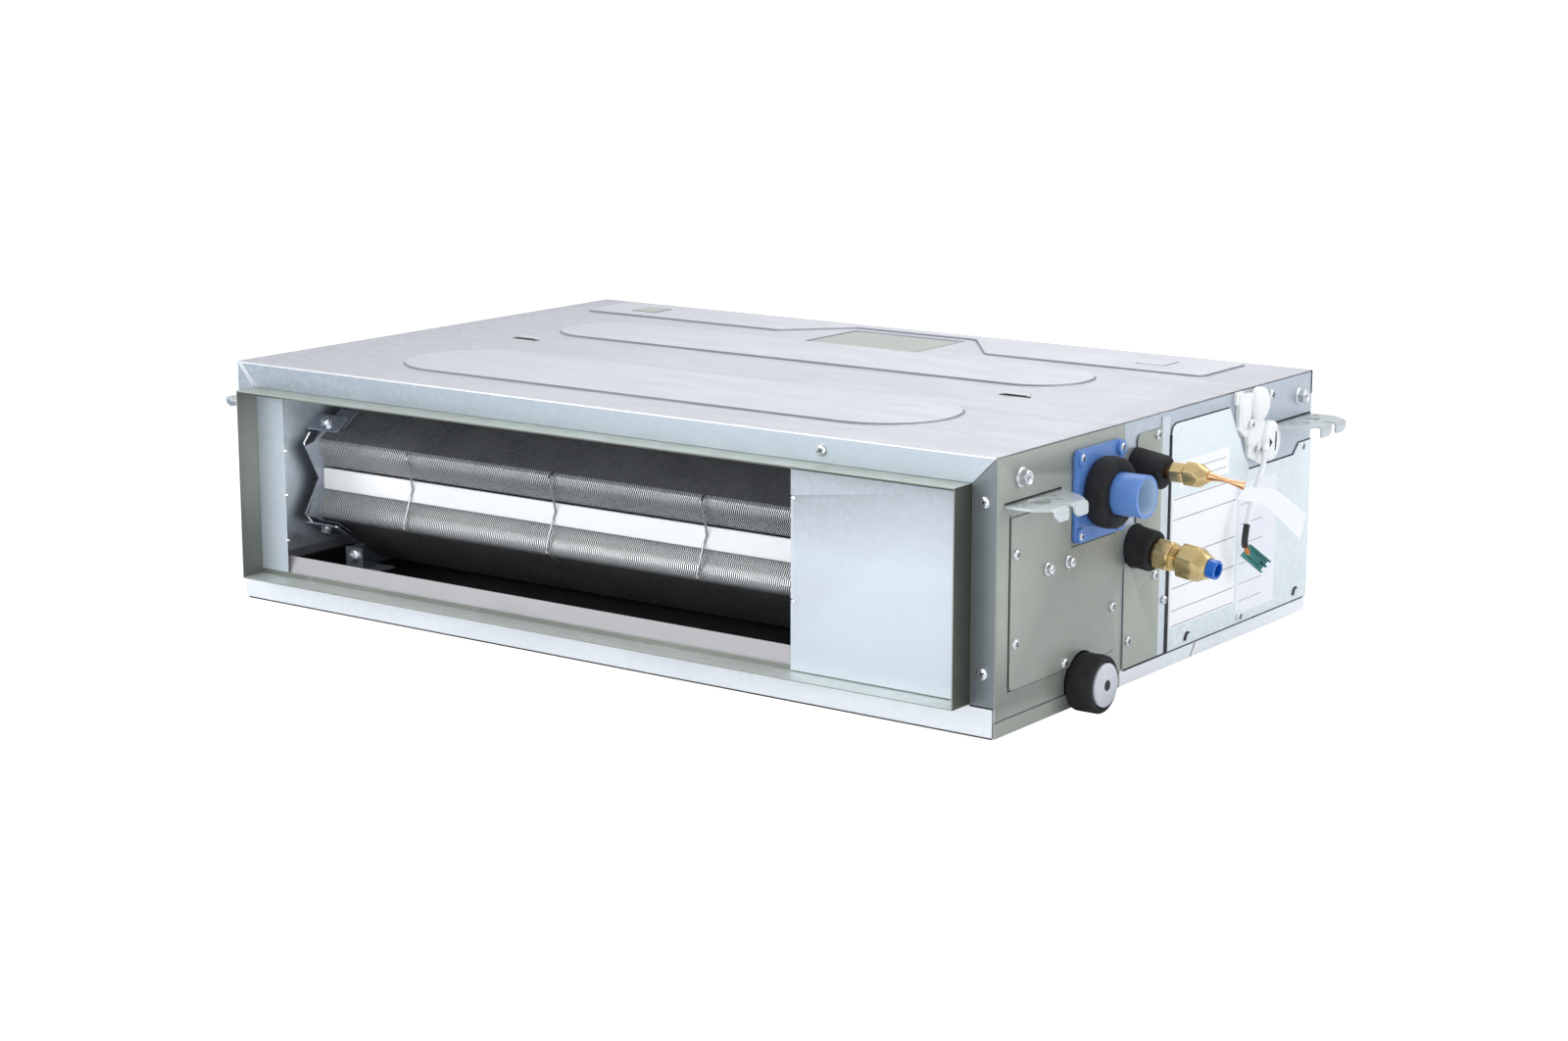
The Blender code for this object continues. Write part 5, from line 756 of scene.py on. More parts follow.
def top_skin():
    """The top sheet: pressed ribs, a rolled front edge and mitred front and rear bands."""
    bm = bmesh.new()
    roll = 1.5
    steps = 5
    band = RIGHT - 20.3
    shapes = pressed_shapes()
    points, triangles = filled([rect(-RIGHT, FRONT + roll, RIGHT, REAR)] + [shape[0] for shape in shapes])
    verts = [bm.verts.new((p.x, p.y, CASE_H)) for p in points]
    for tri in triangles:
        bm.faces.new([verts[i] for i in tri])
    for shape in shapes:
        press(bm, *shape)
    rows = []
    for k in range(steps + 1):
        a = math.pi / 2 * k / steps
        y = FRONT + roll - roll * math.sin(a)
        z = CASE_H - roll + roll * math.cos(a)
        end = RIGHT - 0.3 * (k > 0)
        rows.append([bm.verts.new((-end, y, z)), bm.verts.new((end, y, z))])
    rows.append([bm.verts.new((-band, FRONT, BAND_Z)), bm.verts.new((band, FRONT, BAND_Z))])
    # The last step down is the front band's face, in the band's painted shade.
    for k, (above, below) in enumerate(zip(rows, rows[1:])):
        bm.faces.new((above[0], above[1], below[1], below[0])).material_index = 2 if k == steps else 0
    back = ((-RIGHT, REAR, CASE_H), (RIGHT, REAR, CASE_H), (band, REAR, BAND_Z), (-band, REAR, BAND_Z))
    bm.faces.new([bm.verts.new(p) for p in back])
    bmesh.ops.remove_doubles(bm, verts=bm.verts, dist=1e-3)
    bmesh.ops.recalc_face_normals(bm, faces=bm.faces)
    if max(bm.faces, key=lambda f: f.calc_area()).normal.z < 0:
        bmesh.ops.reverse_faces(bm, faces=bm.faces)
    finish_sheet("top_panel_skin", bm, [zinc_top_shade_fade, zinc_rib_shade, zinc_band_shade], ("top_panel",))


def top_marks():
    """Lanced slits, square pads and the plate of the hatch, all on the top."""
    bm = bmesh.new()
    z = CASE_H
    for x, y in ((-257, -6), (245, -13)):
        add_prism(bm, rect(x - 11, y - 1.5, x + 9, y), z, z + 1.1, flat, 1)
        add_prism(bm, [(x - 14, y - 3), (x - 10, y - 1.6), (x - 10, y), (x - 14, y)], z, z + 0.5, flat, 1)
        add_prism(bm, [(x + 9, y - 1.6), (x + 13, y - 3), (x + 13, y), (x + 9, y)], z, z + 0.5, flat, 1)
        add_prism(bm, rect(x - 11, y - 0.1, x + 9, y + 8), z, z + 1.25)
    finish("top_lanced_slits", bm, [zinc_top_shade_fade, gap_dark], bevel=0.05)
    pads = bmesh.new()
    for x, y, mat in ((-280, 196, 0), (255, 190, 1)):
        pad = rounded(rect(x - 13, y - 13, x + 13, y + 13), 2, 3)
        add_prism(pads, inset(pad, -0.8), z + 1.6, z + 1.7, flat, 2)
        add_prism(pads, pad, z + 1.65, z + 2.1, flat, mat)
    add_prism(pads, rounded(rect(-54, 131, 54, 203), 3, 4), z - 1.2, z - 0.5)
    finish("top_pads_and_hatch_plate", pads, [pad_green, zinc_top_shade_fade, gap_dark], bevel=0.1)


top_skin()
top_marks()
for sheet, coat in (
    ("bottom_panel", zinc_bright), ("left_side_panel", zinc), ("right_rear_panel", zinc_rear),
    ("right_front_panel", film), ("access_panel", film), ("pipe_cover_plate", film),
    ("closing_plate", zinc_closing_shade_fade), ("electrical_cover", zinc_cover_shade_fade), ("drip_sill", sill_finish),
    ("electrical_box", zinc), ("fan_partition", zinc), ("return_collar", zinc),
    ("coil_left_plate", zinc_coil_end_shade), ("coil_right_plate", zinc), ("pump_bracket", zinc),
    ("motor_cradle", zinc),
):
    dressed(sheet, [coat], bevel=0.3)


def collar_coat(centre, normal):
    """The collar's right side takes a painted shade and its lower flange a paler tone of painted light."""
    if normal.x > 0.7 and centre.x > 0:
        return 1
    return 2 if centre.z < 40 else 0


dressed("supply_collar", [film, film_shade, film_lit], bevel=0.3, choose=collar_coat)


# Hangers

LUG_Z = 163.6
LUG_OUTLINE = [(-3.6, -38), (21, -38), (33.2, -29.4), (33.2, -11.5), (27, -10.5), (25, -7.6), (27, -5),
               (33.2, -4.2), (33.2, 14.5), (30, 19.5), (21.5, 27), (10, 34), (-3.6, 38)]
LUG_HOLES = [
    rounded([(1.8, -10), (7, -17.6), (18.4, -19.4), (20, -11), (13.6, 1.6), (5.4, 1.2)], 1.6, 3),
    rounded(rect(7, -31.6, 11.5, -27.8), 0.8, 2), rounded(rect(5.4, 12, 11, 15), 0.8, 2),
    rounded(rect(12.4, 4, 20.6, 7.4), 0.8, 2),
]
LUG_BEND = [(33.1, 1), (34.6, 0.7), (35.7, -0.4), (36.1, -2), (36.1, -3), (34.2, -3), (34.1, -2.1),
            (33.8, -1.3), (33.1, -1)]


def hanger(name, side, y, hand):
    """A lug with a round hole, small slots and two tabs turned down, and its flange bolt."""
    bm = bmesh.new()
    root = (side * RIGHT, y, LUG_Z)
    out, ahead, up = (side, 0, 0), (0, hand, 0), (0, 0, 1)
    add_prism(bm, LUG_OUTLINE, -1, 1, axes(root, out, ahead, up), 0, LUG_HOLES)
    for low, high in ((-29.4, -11.5), (-4.2, 14.5)):
        add_prism(bm, LUG_BEND, low, high, axes(root, out, up, ahead))
        tab = [(low, -2.9), (high, -2.9), (high, -7.2), (high - 1.4, -8.6), (low + 5.0, -8.6),
               (low + 0.8, -5.4)]
        add_prism(bm, tab, 34.2, 36.1, axes(root, ahead, up, out))
    finish(name + "_lug", bm, [zinc_lug], stands_for=(name,), bevel=0.3, angle=30)
    bolt = bmesh.new()
    place = along((side * RIGHT, y + hand * -16.5, LUG_Z + 18), out, 0.2)
    add_turned(bolt, [(0, 7.4), (0.8, 7.4), (1.5, 6.6), (1.8, 5.4)], place, 40)
    head = [(1.2, 6.2), (6.0, 6.2), (6.6, 5.4), (7.0, 4.6), (6.5, 3.6), (6.3, 0)]
    add_turned(bolt, head, place, 48, 0, 10.4)
    # The slot is a dark bar of painted shade.
    add_prism(bolt, rect(-2.6, -0.6, 2.6, 0.6), 6.2, 6.45, place, 1)
    finish(name + "_bolt", bolt, [steel, recess_shade], bevel=0.15)


for lug, side, y, hand in (("hanger_front_right", 1, -192.0, 1), ("hanger_rear_right", 1, 201.0, -1),
                           ("hanger_front_left", -1, -192.0, 1), ("hanger_rear_left", -1, 201.0, -1)):
    hanger(lug, side, y, hand)


# Seams, marks and labels


def half_round(y, z, wide):
    """A half-round outline, a little taller than wide."""
    turns = [math.pi * k / 10 for k in range(11)]
    return [(y + wide * math.cos(a), z + wide * 1.2 * math.sin(a)) for a in turns]


def side_seams():
    """Seams, lanced tabs and the pale strip of the connection side."""
    bm = bmesh.new()
    cover = [(5, 12.6), (240, 12.6), (240, 143), (218, 143), (209, 134.5), (132, 134.5), (127, 141.5),
             (97, 188), (12, 188), (7, 186), (5, 181)]
    for outline, height, mat in (
        (rect(-10, 12.8, 1.6, 196), 0.8, 2), ([(0.6, 12.8), (5.4, 12.8), (5.2, 180), (2.6, 180)], 1.34, 1),
        (rect(238.3, 181, 240, 199.4), 0.3, 1), ([(44, 0.6), (45, 0.6), (52.6, 10.2), (51.4, 10.6)], 0.15, 1),
        (rect(-60, 11.0, 236, 12.4), 0.3, 1), (inset(cover, -0.9), 0.12, 1),
        (rect(-222.9, 30.2, -222, 157), 0.1, 1), (rect(-222.9, 30.2, -76.2, 31), 0.1, 1),
        (rect(-77, 30.2, -76.2, 118), 0.1, 1),
    ):
        add_prism(bm, outline, RIGHT, RIGHT + height, across_x, mat)
    for y, z in ((38, 16), (221, 17)):
        add_prism(bm, half_round(y - 1.4, z, 5.6), PLATE_X, PLATE_X + 0.5, across_x, 1)
        add_prism(bm, half_round(y, z, 4.2), PLATE_X, PLATE_X + 1.4, across_x, 0)
    finish("side_seams_and_tabs", bm, [zinc_cover_shade_fade, gap_dark, zinc_pale], bevel=0.05)
    foot = bmesh.new()
    add_prism(foot, rect(FRONT, 0.0, -65, 11.2), RIGHT, RIGHT + 0.35, across_x, 0)
    add_prism(foot, rect(FRONT, 11.2, -65, 11.9), RIGHT, RIGHT + 0.1, across_x, 1)
    finish("side_foot_coating", foot, [film, gap_dark], bevel=0.1)


def blank_labels():
    """The three labels on the electrical cover, with plain rules in place of their print."""
    bm = bmesh.new()
    for y0, z0, y1, z1, mat in ((7.5, 30, 112, 131, 0), (114.5, 20, 180, 125, 1), (17, 137.5, 97, 158, 0)):
        add_prism(bm, rect(y0, z0, y1, z1), PLATE_X, PLATE_X + 0.15, across_x, mat)
    for y0, y1, wide, heights in (
        (9.5, 110.5, 0.8, (129.3, 113.5, 84, 60.5, 43, 31)), (119, 158, 0.6, (108, 92, 76, 60, 44, 30)),
        (45, 92, 0.6, (150, 142.5)),
    ):
        for z in heights:
            add_prism(bm, rect(y0, z, y1, z + wide), PLATE_X + 0.1, PLATE_X + 0.2, across_x, 2)
    finish("blank_labels", bm, [label, label_blue, rule_grey])


def on_front(bm, outline, depth, mat=0):
    """A thin plate on the front face of the case."""
    add_prism(bm, outline, FRONT - depth, FRONT, across_y, mat)


def front_marks():
    """Edge notches of the foot and the closing plate, the mitre lines of the band as painted highlights, and
    the front's seams; also sheets of painted shade on the front and the left wall.
    """
    bm = bmesh.new()
    for x, depth, heights in ((-318.4, 0.4, (130, 93, 55)), (199.4, 1.3, (152, 75.5))):
        for z in heights:
            place = along((x, FRONT - depth, z), TO_FRONT)
            add_turned(bm, [(0, 2.6), (0.9, 2.2), (1.2, 0)], place, 16, 0, 0, 0.6)
    # Two white lines on the left mitre: painted highlights of its edges.
    for x in (-369.2, -366.6):
        on_front(bm, [(x, 198.6), (x + 1.0, 198.6), (x + 17.2, 181.0), (x + 16.2, 181.0)], 0.12, 1)
    finish("front_notches", bm, [steel, white_strip_and_highlight])
    # Darker faces on the right lip, the foot strip and the left corner of the front: painted shade.
    faces = bmesh.new()
    on_front(faces, [(350.6, 22), (370, 22), (370, 198.6), (350.6, 180)], 0.2, 0)
    on_front(faces, rect(-348.6, 27.5, -318.5, 172.6), 0.25, 1)
    on_front(faces, [(-370, 22), (-351, 22), (-351, 180), (-369.6, 198.4)], 0.05, 2)
    finish("front_painted_shade_faces", faces, [zinc_lip_shade, zinc_foot_shade_fade, zinc_band_shade], bevel=0.02)
    # A sheet on the inside of the left wall, darker deeper into the case: painted shade.
    wall = bmesh.new()
    add_box(wall, (-RIGHT + 1.05, FRONT + 1.5, 31), (-RIGHT + 1.4, -62, BAND_Z + 6))
    finish("left_wall_painted_shade", wall, [zinc_wall_shade])
    low, high = (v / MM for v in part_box("drip_sill"))
    section = [(low.y, low.z), (low.y + 1, low.z), (high.y, high.z), (high.y - 1, high.z)]
    end = bmesh.new()
    add_prism(end, section, low.x - 8, low.x + 0.1, across_x)
    finish("sill_end", end, [sill_finish])
    gaps = bmesh.new()
    on_front(gaps, [(369.4, 199.2), (370.0, 199.2), (351.2, 180.0), (350.0, 180.0)], 0.1)
    on_front(gaps, [(-370.0, 199.2), (-369.4, 199.2), (-350.0, 180.0), (-351.0, 180.0)], 0.06)
    on_front(gaps, rect(350.2, 21.2, 369.6, 22.4), 0.3)
    on_front(gaps, rect(368.9, 1.0, 369.7, 22.0), 0.3)
    on_front(gaps, rect(-366, -0.3, 369.0, 0.7), 0.4)
    finish("mitre_gaps", gaps, [gap_dark])


side_seams()
blank_labels()
front_marks()


# The coil


def slab_point(side, up, out):
    """The (y, z) of a point in a slab, from its reach along the slab and its depth in it."""
    y = NOSE_Y + up * math.cos(COIL_ANGLE) - out * math.sin(COIL_ANGLE)
    z = NOSE_Z + side * (COIL_OPEN / 2 + up * math.sin(COIL_ANGLE) + out * math.cos(COIL_ANGLE))
    return y, z


def fin_pack(side, length, node):
    """Thin corrugated fins on their tubes: front edges in a painted highlight, sides and other edges in
    painted shade, and a dark core behind as painted shade.
    """
    bm = bmesh.new()
    for k in range(int((COIL_RIGHT - COIL_LEFT) / FIN_PITCH) + 1):
        x = COIL_LEFT + 0.4 + k * FIN_PITCH
        faces = []
        for face in (-FIN_HALF, FIN_HALF):
            rows = []
            for i, (out, up) in enumerate(NOSE_CURVE):
                shift = face + (FIN_FOLD if i % 2 else -FIN_FOLD)
                ends = [(x + shift, *slab_point(side, reach, out)) for reach in (up, length)]
                rows.append([bm.verts.new(end) for end in ends])
            faces.append(rows)
            for a, b in zip(rows, rows[1:]):
                bm.faces.new((a[0], b[0], b[1], a[1])).material_index = 1
        near, far = faces
        for a in range(len(near) - 1):
            for end in (0, 1):
                edge = bm.faces.new((near[a][end], near[a + 1][end], far[a + 1][end], far[a][end]))
                edge.material_index = end
        for i in (0, -1):
            bm.faces.new((near[i][0], near[i][1], far[i][1], far[i][0])).material_index = 2
    finish(node + "_fins", bm, [fin_lit, fin_shade, fin_half_shade], stands_for=(node,), weld=False,
           angle=25)
    # A dark core inside the slab, painted shade between the fins.
    inner = bmesh.new()
    section = [slab_point(side, up, out) for up, out in rect(9, 6, length - 1, COIL_T - 6)]
    add_prism(inner, section, COIL_LEFT + 1, COIL_RIGHT - 1, across_x, 1)
    for row in (-1, 1):
        for index in range(int(length / TUBE_PITCH)):
            y, z = slab_point(side, TUBE_PITCH * (index + 0.5), COIL_T / 2 + row * 6.7)
            add_tube(inner, [(COIL_LEFT, y, z), (COIL_RIGHT, y, z)], 5.6, 20)
    finish(node + "_tubes", inner, [fin_lit, core_shade], weld=False)


def clip(name, x):
    """The spring clip in round wire, hooked over both slabs and kinked at the nose strip."""
    off = 1.2
    section = [
        slab_point(1, 7, COIL_T + off), slab_point(1, -off, COIL_T + off), slab_point(1, -off, COIL_T - 3),
        (NOSE_Y - 5.2 - off, NOSE_Z + 2), (NOSE_Y - 5.2 - off, NOSE_Z - 4), slab_point(-1, -off, COIL_T - 3),
        slab_point(-1, -off, COIL_T + off), slab_point(-1, 24, COIL_T + off),
    ]
    path = [Vector((x + 3 * math.sin(i), y, z)) for i, (y, z) in enumerate(section)]
    bm = bmesh.new()
    add_tube(bm, bent(path, 1.6), 0.9)
    finish("wire_" + name, bm, [wire_steel], stands_for=(name,), angle=60)


def nose_strip():
    """The white strip between the slabs, with its edges turned in."""
    bm = bmesh.new()
    section = [(-167.5, 85.0), (-171.4, 84.4), (-172.2, 85.2), (-172.4, 93.0), (-172.2, 101.8),
               (-171.4, 102.6), (-167.4, 102.0), (-171.0, 101.2), (-171.2, 93.0), (-171.0, 86.0)]
    add_prism(bm, section, COIL_LEFT - 1.5, COIL_RIGHT, across_x)
    finish("nose_strip", bm, [white_strip_and_highlight], stands_for=("coil_nose_strip",), bevel=0.15)


def coil_end():
    """Tab screws, the small bracket, and a white line of painted highlight along the end plate's edge at the
    coil's left end.
    """
    bm = bmesh.new()
    for (x, y, z), tilt in (((-323, -184.5, 144.5), 1), ((-321.5, -190, 55.5), -1)):
        out = (0, -math.sin(COIL_ANGLE), tilt * math.cos(COIL_ANGLE))
        add_prism(bm, rounded(rect(-19, -9, 17, 9), 2, 3), -0.6, 0.6, along((x, y, z), out), 2)
        add_hex_screw(bm, (x - 1, y - 0.3, z + tilt * 0.6), out, 7.0, 5.4)
    bracket = [(-299, 26), (-299, 43), (-297.6, 43), (-297.6, 27.4), (-262, 27.4), (-262, 26)]
    add_prism(bm, bracket, -192, -172, across_y, 2)
    add_hex_screw(bm, (-288.5, -193.4, 36.3), TO_FRONT, 6.4, 5.2)
    add_prism(bm, rect(-298, 27, -279, 44), -193.4, -192.4, across_y, 2)
    finish("coil_end_screws", bm, [steel, recess_shade, zinc_dark], bevel=0.08)
    # A white line along the end plate's V-shaped edge: painted highlight.
    edge = bmesh.new()
    for line in (((-343.5, -186, 135), (-346.8, -190, 125.9), (-344.8, -175, 94.4)),
                 ((-344.8, -175, 94.4), (-347.3, -190, 65.2), (-343.5, -186, 57))):
        add_tube(edge, line, 0.7, 8)
    finish("coil_plate_edge_highlight", edge, [white_strip_and_highlight], angle=60)


for side, length, node in SLABS:
    fin_pack(side, length, node)
for name, x in (("coil_clip_left", -239.0), ("coil_clip_middle", -84.5), ("coil_clip_right", 67.5)):
    clip(name, x)
nose_strip()
coil_end()
dressed("drain_pan", [pan_foam], bevel=0.8)


# Pipes on the connection side


def barrel(low, high, outer, inner, soft=2.5, bulge=0.5):
    """The closed profile of a foam sleeve with rounded ends and a slight bulge."""
    points = [(low, inner), (low, outer - soft)]
    for k in range(1, 5):
        a = math.pi / 2 * k / 4
        points.append((low + soft - soft * math.cos(a), outer - soft + soft * math.sin(a)))
    points.append(((low + high) / 2, outer + bulge))
    for k in range(0, 5):
        a = math.pi / 2 * k / 4
        points.append((high - soft + soft * math.sin(a), outer - soft + soft * math.cos(a)))
    return points + [(high, inner + 1), (high - 1, inner), (low, inner)]


def foam_sleeve(node, start, direction, profile):
    bm = bmesh.new()
    add_turned(bm, profile, along(start, direction), 48)
    finish(node + "_foam", bm, [black_foam], stands_for=(node,), angle=50)


def fitting(name, start, direction, sections, stands_for, mat=brass):
    """A fitting of turned sections, each with a hexagon's width or none."""
    bm = bmesh.new()
    for profile, across in sections:
        add_turned(bm, profile, along(start, direction, 0.25), 72, 0, across)
    finish(name, bm, [mat], stands_for=(stands_for,), angle=26)


def hexagon(low, high, across, bevelled):
    """A hexagon with turned chamfers at both ends."""
    corner = across / 2 / math.cos(math.pi / 6)
    reach = corner + 0.05
    return [(low, 0), (low, across / 2 - 0.3), (low + bevelled, reach), (high - bevelled, reach),
            (high, across / 2 - 0.3), (high, 0)], across


def thread(low, high, radius, pitch):
    """A threaded length, as a plain row of ridges."""
    points = [(low, radius - 0.6)]
    for k in range(int((high - low) / pitch)):
        points += [(low + (k + 0.5) * pitch, radius), (low + (k + 1) * pitch, radius - 0.6)]
    return points, 0.0


def pipes():
    """The liquid and gas pipes: unions, nuts, the gas plug and the pinched liquid tail."""
    liquid = (RIGHT, PIPE_Y, LIQUID_Z)
    gas = (RIGHT, PIPE_Y, GAS_Z)
    fitting("liquid_union_hex", liquid, TO_RIGHT, [
        ([(26, 3.2), (30.5, 3.2)], 0.0), hexagon(30.4, 41.2, 14.0, 1.0), thread(41.2, 45.4, 6.6, 1.0),
    ], "liquid_union")
    nut = [(41.9, 7.4), (42.4, 8.4), (43.2, 9.9), (51.6, 9.9), (54.0, 8.6), (57.0, 6.4), (60.4, 4.6),
           (60.5, 3.2)]
    fitting("liquid_nut_hex", liquid, TO_RIGHT, [(nut, 17.4)], "liquid_nut")
    fitting("gas_union_hex", gas, GAS_AXIS, [
        ([(18, 8.0), (21, 8.0)], 0.0), hexagon(20.2, 33.2, 21.6, 1.6), thread(33.2, 44.8, 9.6, 1.4),
    ], "gas_union")
    nut = [(39.9, 10.6), (40.2, 11.6), (42.0, 14.3), (53.6, 14.3), (57.0, 12.0), (60.0, 10.0), (63.4, 8.6),
           (63.5, 7.3)]
    fitting("gas_nut_hex", gas, GAS_AXIS, [(nut, 25.2)], "gas_nut")
    plug = [(52, 7.2), (69.9, 7.2), (70.6, 6.6), (70.6, 5.4), (70.0, 5.1), (56.0, 5.0), (56.0, 0)]
    fitting("gas_plug_cup", gas, GAS_AXIS, [(plug, 0.0)], "gas_plug", cap_blue)
    stub = bmesh.new()
    tail = ((412.0, 0, 3.3, 3.3), (431, 0, 3.2, 3.2), (435, 0.1, 3.0, 2.8), (440, 0.6, 2.7, 1.9),
            (446, 1.4, 2.6, 1.5), (452, 2.6, 2.2, 2.2), (458.6, 3.8, 1.5, 3.3))
    path = [(x, PIPE_Y + (0.1 * drop if x > 445 else 0), LIQUID_Z - drop) for x, drop, _, _ in tail]
    add_tube(stub, path, [size[2:] for size in tail], 20)
    add_tube(stub, [(395, PIPE_Y, LIQUID_Z), (402, PIPE_Y, LIQUID_Z)], 3.6, 20)
    finish("liquid_tail_pinched", stub, [copper], stands_for=("liquid_tail",), angle=60)
    ring = bmesh.new()
    add_turned(ring, [(16, 6.6), (20.4, 6.6)], along(gas, GAS_AXIS))
    finish("gas_stub_ring", ring, [copper], angle=60)


def in_outlet_bore(centre, normal):
    """1 on the wall inside the drain outlet, which takes a lighter tone of painted light, else 0."""
    away = Vector((0, centre.y - OUTLET[1], centre.z - OUTLET[2]))
    return int(away.length < 16.5 and normal.dot(away) < -0.3 * away.length)


def tag():
    """The blank card strip on the liquid pipe's tail, bent by its own weight."""
    upper = curved([(459.4, -46.1, 158.6), (476.6, -33.9, 156.8), (497.3, -23.3, 139.5)], 8)
    lower = curved([(455.4, -51.4, 150.4), (471.6, -40.2, 145.4), (495.3, -28.9, 122.6)], 8)
    bm = bmesh.new()
    rows = [[bm.verts.new(high), bm.verts.new(low)] for high, low in zip(upper, lower)]
    for a, b in zip(rows, rows[1:]):
        bm.faces.new((a[0], b[0], b[1], a[1]))
    finish_sheet("blank_tag", bm, [tag_paper], ("pipe_tag",), 0.4)


def outlet_screws():
    """The four screws of the outlet's plate, and the dark centre of the gravity drain's plug."""
    bm = bmesh.new()
    for a in (-28.5, 28.5):
        for b in (-28.5, 28.5):
            add_screw(bm, (374.2, OUTLET[1] + a, OUTLET[2] + b), TO_RIGHT, 3.2, 2.2)
    finish("outlet_plate_screws", bm, [steel, recess_shade], bevel=0.08)
    hole = bmesh.new()
    add_turned(hole, [(393.35, 0), (393.5, 3.6)], along(DRAIN, TO_RIGHT), 20)
    finish("plug_centre", hole, [gap_dark], "drain_plug")


foam_sleeve("drain_outlet_sleeve", OUTLET, TO_RIGHT, barrel(373.6, 390.6, 26.0, 16.0, 4.0))
foam_sleeve("gravity_drain_sleeve", DRAIN, TO_RIGHT, barrel(369.5, 391.0, 21.6, 16.6, 3.0, 0.0))
foam_sleeve("liquid_sleeve", (RIGHT, PIPE_Y, LIQUID_Z + 2.2), GAS_AXIS,
            barrel(-20.0, 25.5, 12.8, 4.2, 2.0, 0.2))
foam_sleeve("gas_sleeve", (RIGHT, PIPE_Y, GAS_Z), GAS_AXIS, barrel(-12.0, 18.5, 15.4, 8.4, 2.4, 0.2))
pipes()
dressed("drain_outlet", [blue_plastic, blue_bore_lit], bevel=0.5, angle=40,
        choose=in_outlet_bore)
dressed("gravity_drain_plug", [grey_plastic], "drain_plug", 0.5, 40)
tag()
outlet_screws()


# White cable clamps


def add_dome(bm, y, z, half_y, half_z, height, flat_top=0.35):
    """A rounded oval cap that stands on the side of the case."""
    profile = [(0, half_y), (height * 0.45, half_y)]
    for k in range(1, 8):
        a = math.pi / 2 * k / 7
        reach = flat_top + (1 - flat_top) * math.cos(a)
        profile.append((height * (0.45 + 0.55 * math.sin(a)), reach * half_y))
    profile.append((height, 0))
    add_turned(bm, profile, along((PLATE_X - 1, y, z), TO_RIGHT), 40, 0, 0, half_z / half_y)


def clamps():
    upper = bmesh.new()
    add_dome(upper, 141.8, 185.6, 13.8, 13.6, 8.0)
    add_dome(upper, 118.5, 181.0, 9.5, 13.5, 5.2)
    back = rounded([(108, 170), (122, 160), (132, 196), (108, 197)], 3, 3)
    add_prism(upper, back, RIGHT, PLATE_X + 2.4, across_x)
    add_prism(upper, rect(104, 189, 116, 199), RIGHT, PLATE_X + 1.4, across_x)
    finish("upper_cable_clamp", upper, [nylon], stands_for=("cable_clamp_upper",), bevel=0.4)
    lower = bmesh.new()
    add_dome(lower, 161.0, 153.6, 14.8, 16.2, 8.0)
    add_dome(lower, 133.0, 162.0, 10.5, 12.0, 5.0)
    back = rounded([(124, 146), (148, 136), (152, 172), (126, 176)], 3, 3)
    add_prism(lower, back, RIGHT, PLATE_X + 2.4, across_x)
    slot = [(160.6, 146), (162.0, 146), (163.4, 153), (163.0, 161), (161.4, 162), (161.0, 154)]
    add_prism(lower, slot, PLATE_X + 6.9, PLATE_X + 7.15, across_x, 1)
    arrow = [(152.2, 150.2), (156.4, 153.4), (152.2, 157)]
    add_prism(lower, arrow, PLATE_X + 6.8, PLATE_X + 7.1, across_x, 1)
    add_tube(lower, [(375, 152, 152.5), (376.5, 146.0, 148.2), (377.4, 144.5, 147)], 3.0, 16)
    finish("lower_cable_clamp", lower, [nylon, gap_dark], stands_for=("cable_clamp_lower",),
           bevel=0.4)


clamps()


# The return side and the inside


def return_net():
    """The filter's woven net."""
    low, high = (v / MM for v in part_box("return_filter"))
    bm = bmesh.new()
    y = (low.y + high.y) / 2
    pitch = 3.2
    thin = 0.28
    for k in range(int((high.x - low.x - 24) / pitch) + 1):
        x = low.x + 14 + k * pitch
        add_box(bm, (x - thin, y - thin, low.z + 6), (x + thin, y + thin, high.z - 6))
    for k in range(int((high.z - low.z - 12) / pitch) + 1):
        z = low.z + 6 + k * pitch
        add_box(bm, (low.x + 12, y + 0.3 - thin, z - thin), (high.x - 4, y + 0.3 + thin, z + thin))
    finish("filter_net", bm, [black_plastic], "filter", weld=False)


def rear_strips():
    """Sheet strips that close the case's back on both sides of the return collar."""
    low, high = (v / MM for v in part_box("return_collar"))
    bm = bmesh.new()
    for x0, x1 in ((-352, low.x + 1), (high.x - 1, 352)):
        add_box(bm, (x0, REAR - 1.8, 20), (x1, REAR - 1, BAND_Z + 2))
    finish("rear_strips", bm, [zinc])


rear_strips()
return_net()
dressed("return_filter", [black_plastic], "filter", 0.3)
for node, mat, body, slot in (
    ("fan_shaft", steel, "fan_rotor", "galvanised"),
    ("blower_wheel_left", black_plastic, "fan_rotor", "black_plastic"),
    ("blower_wheel_right", black_plastic, "fan_rotor", "black_plastic"),
    ("fan_motor", zinc, "case", "galvanised"),
    ("scroll_left", black_plastic, "case", "black_plastic"),
    ("scroll_right", black_plastic, "case", "black_plastic"),
    ("pump_housing", nylon, "case", "white_plastic"),
    ("pump_impeller", nylon, "pump_rotor", "white_plastic"),
    ("pump_float", nylon, "float_switch", "white_plastic"),
    ("lift_hose", black_plastic, "case", "black_plastic"),
    ("control_board", board_green, "case", "board"),
    ("gas_header", copper, "case", "copper"),
    ("liquid_distributor", copper, "case", "copper"),
):
    dressed(node, [mat], body, 0.25)


# Floor, surroundings and lights


def camera_sees(tree, shown, lit, output):
    """Shows one shader to the camera and lights the scene with another."""
    mix = add_node(tree, "MixShader", Fac=add_node(tree, "LightPath").outputs["Is Camera Ray"])
    tree.links.new(lit.outputs[0], mix.inputs[1])
    tree.links.new(shown.outputs[0], mix.inputs[2])
    tree.links.new(mix.outputs["Shader"], output.inputs["Surface"])


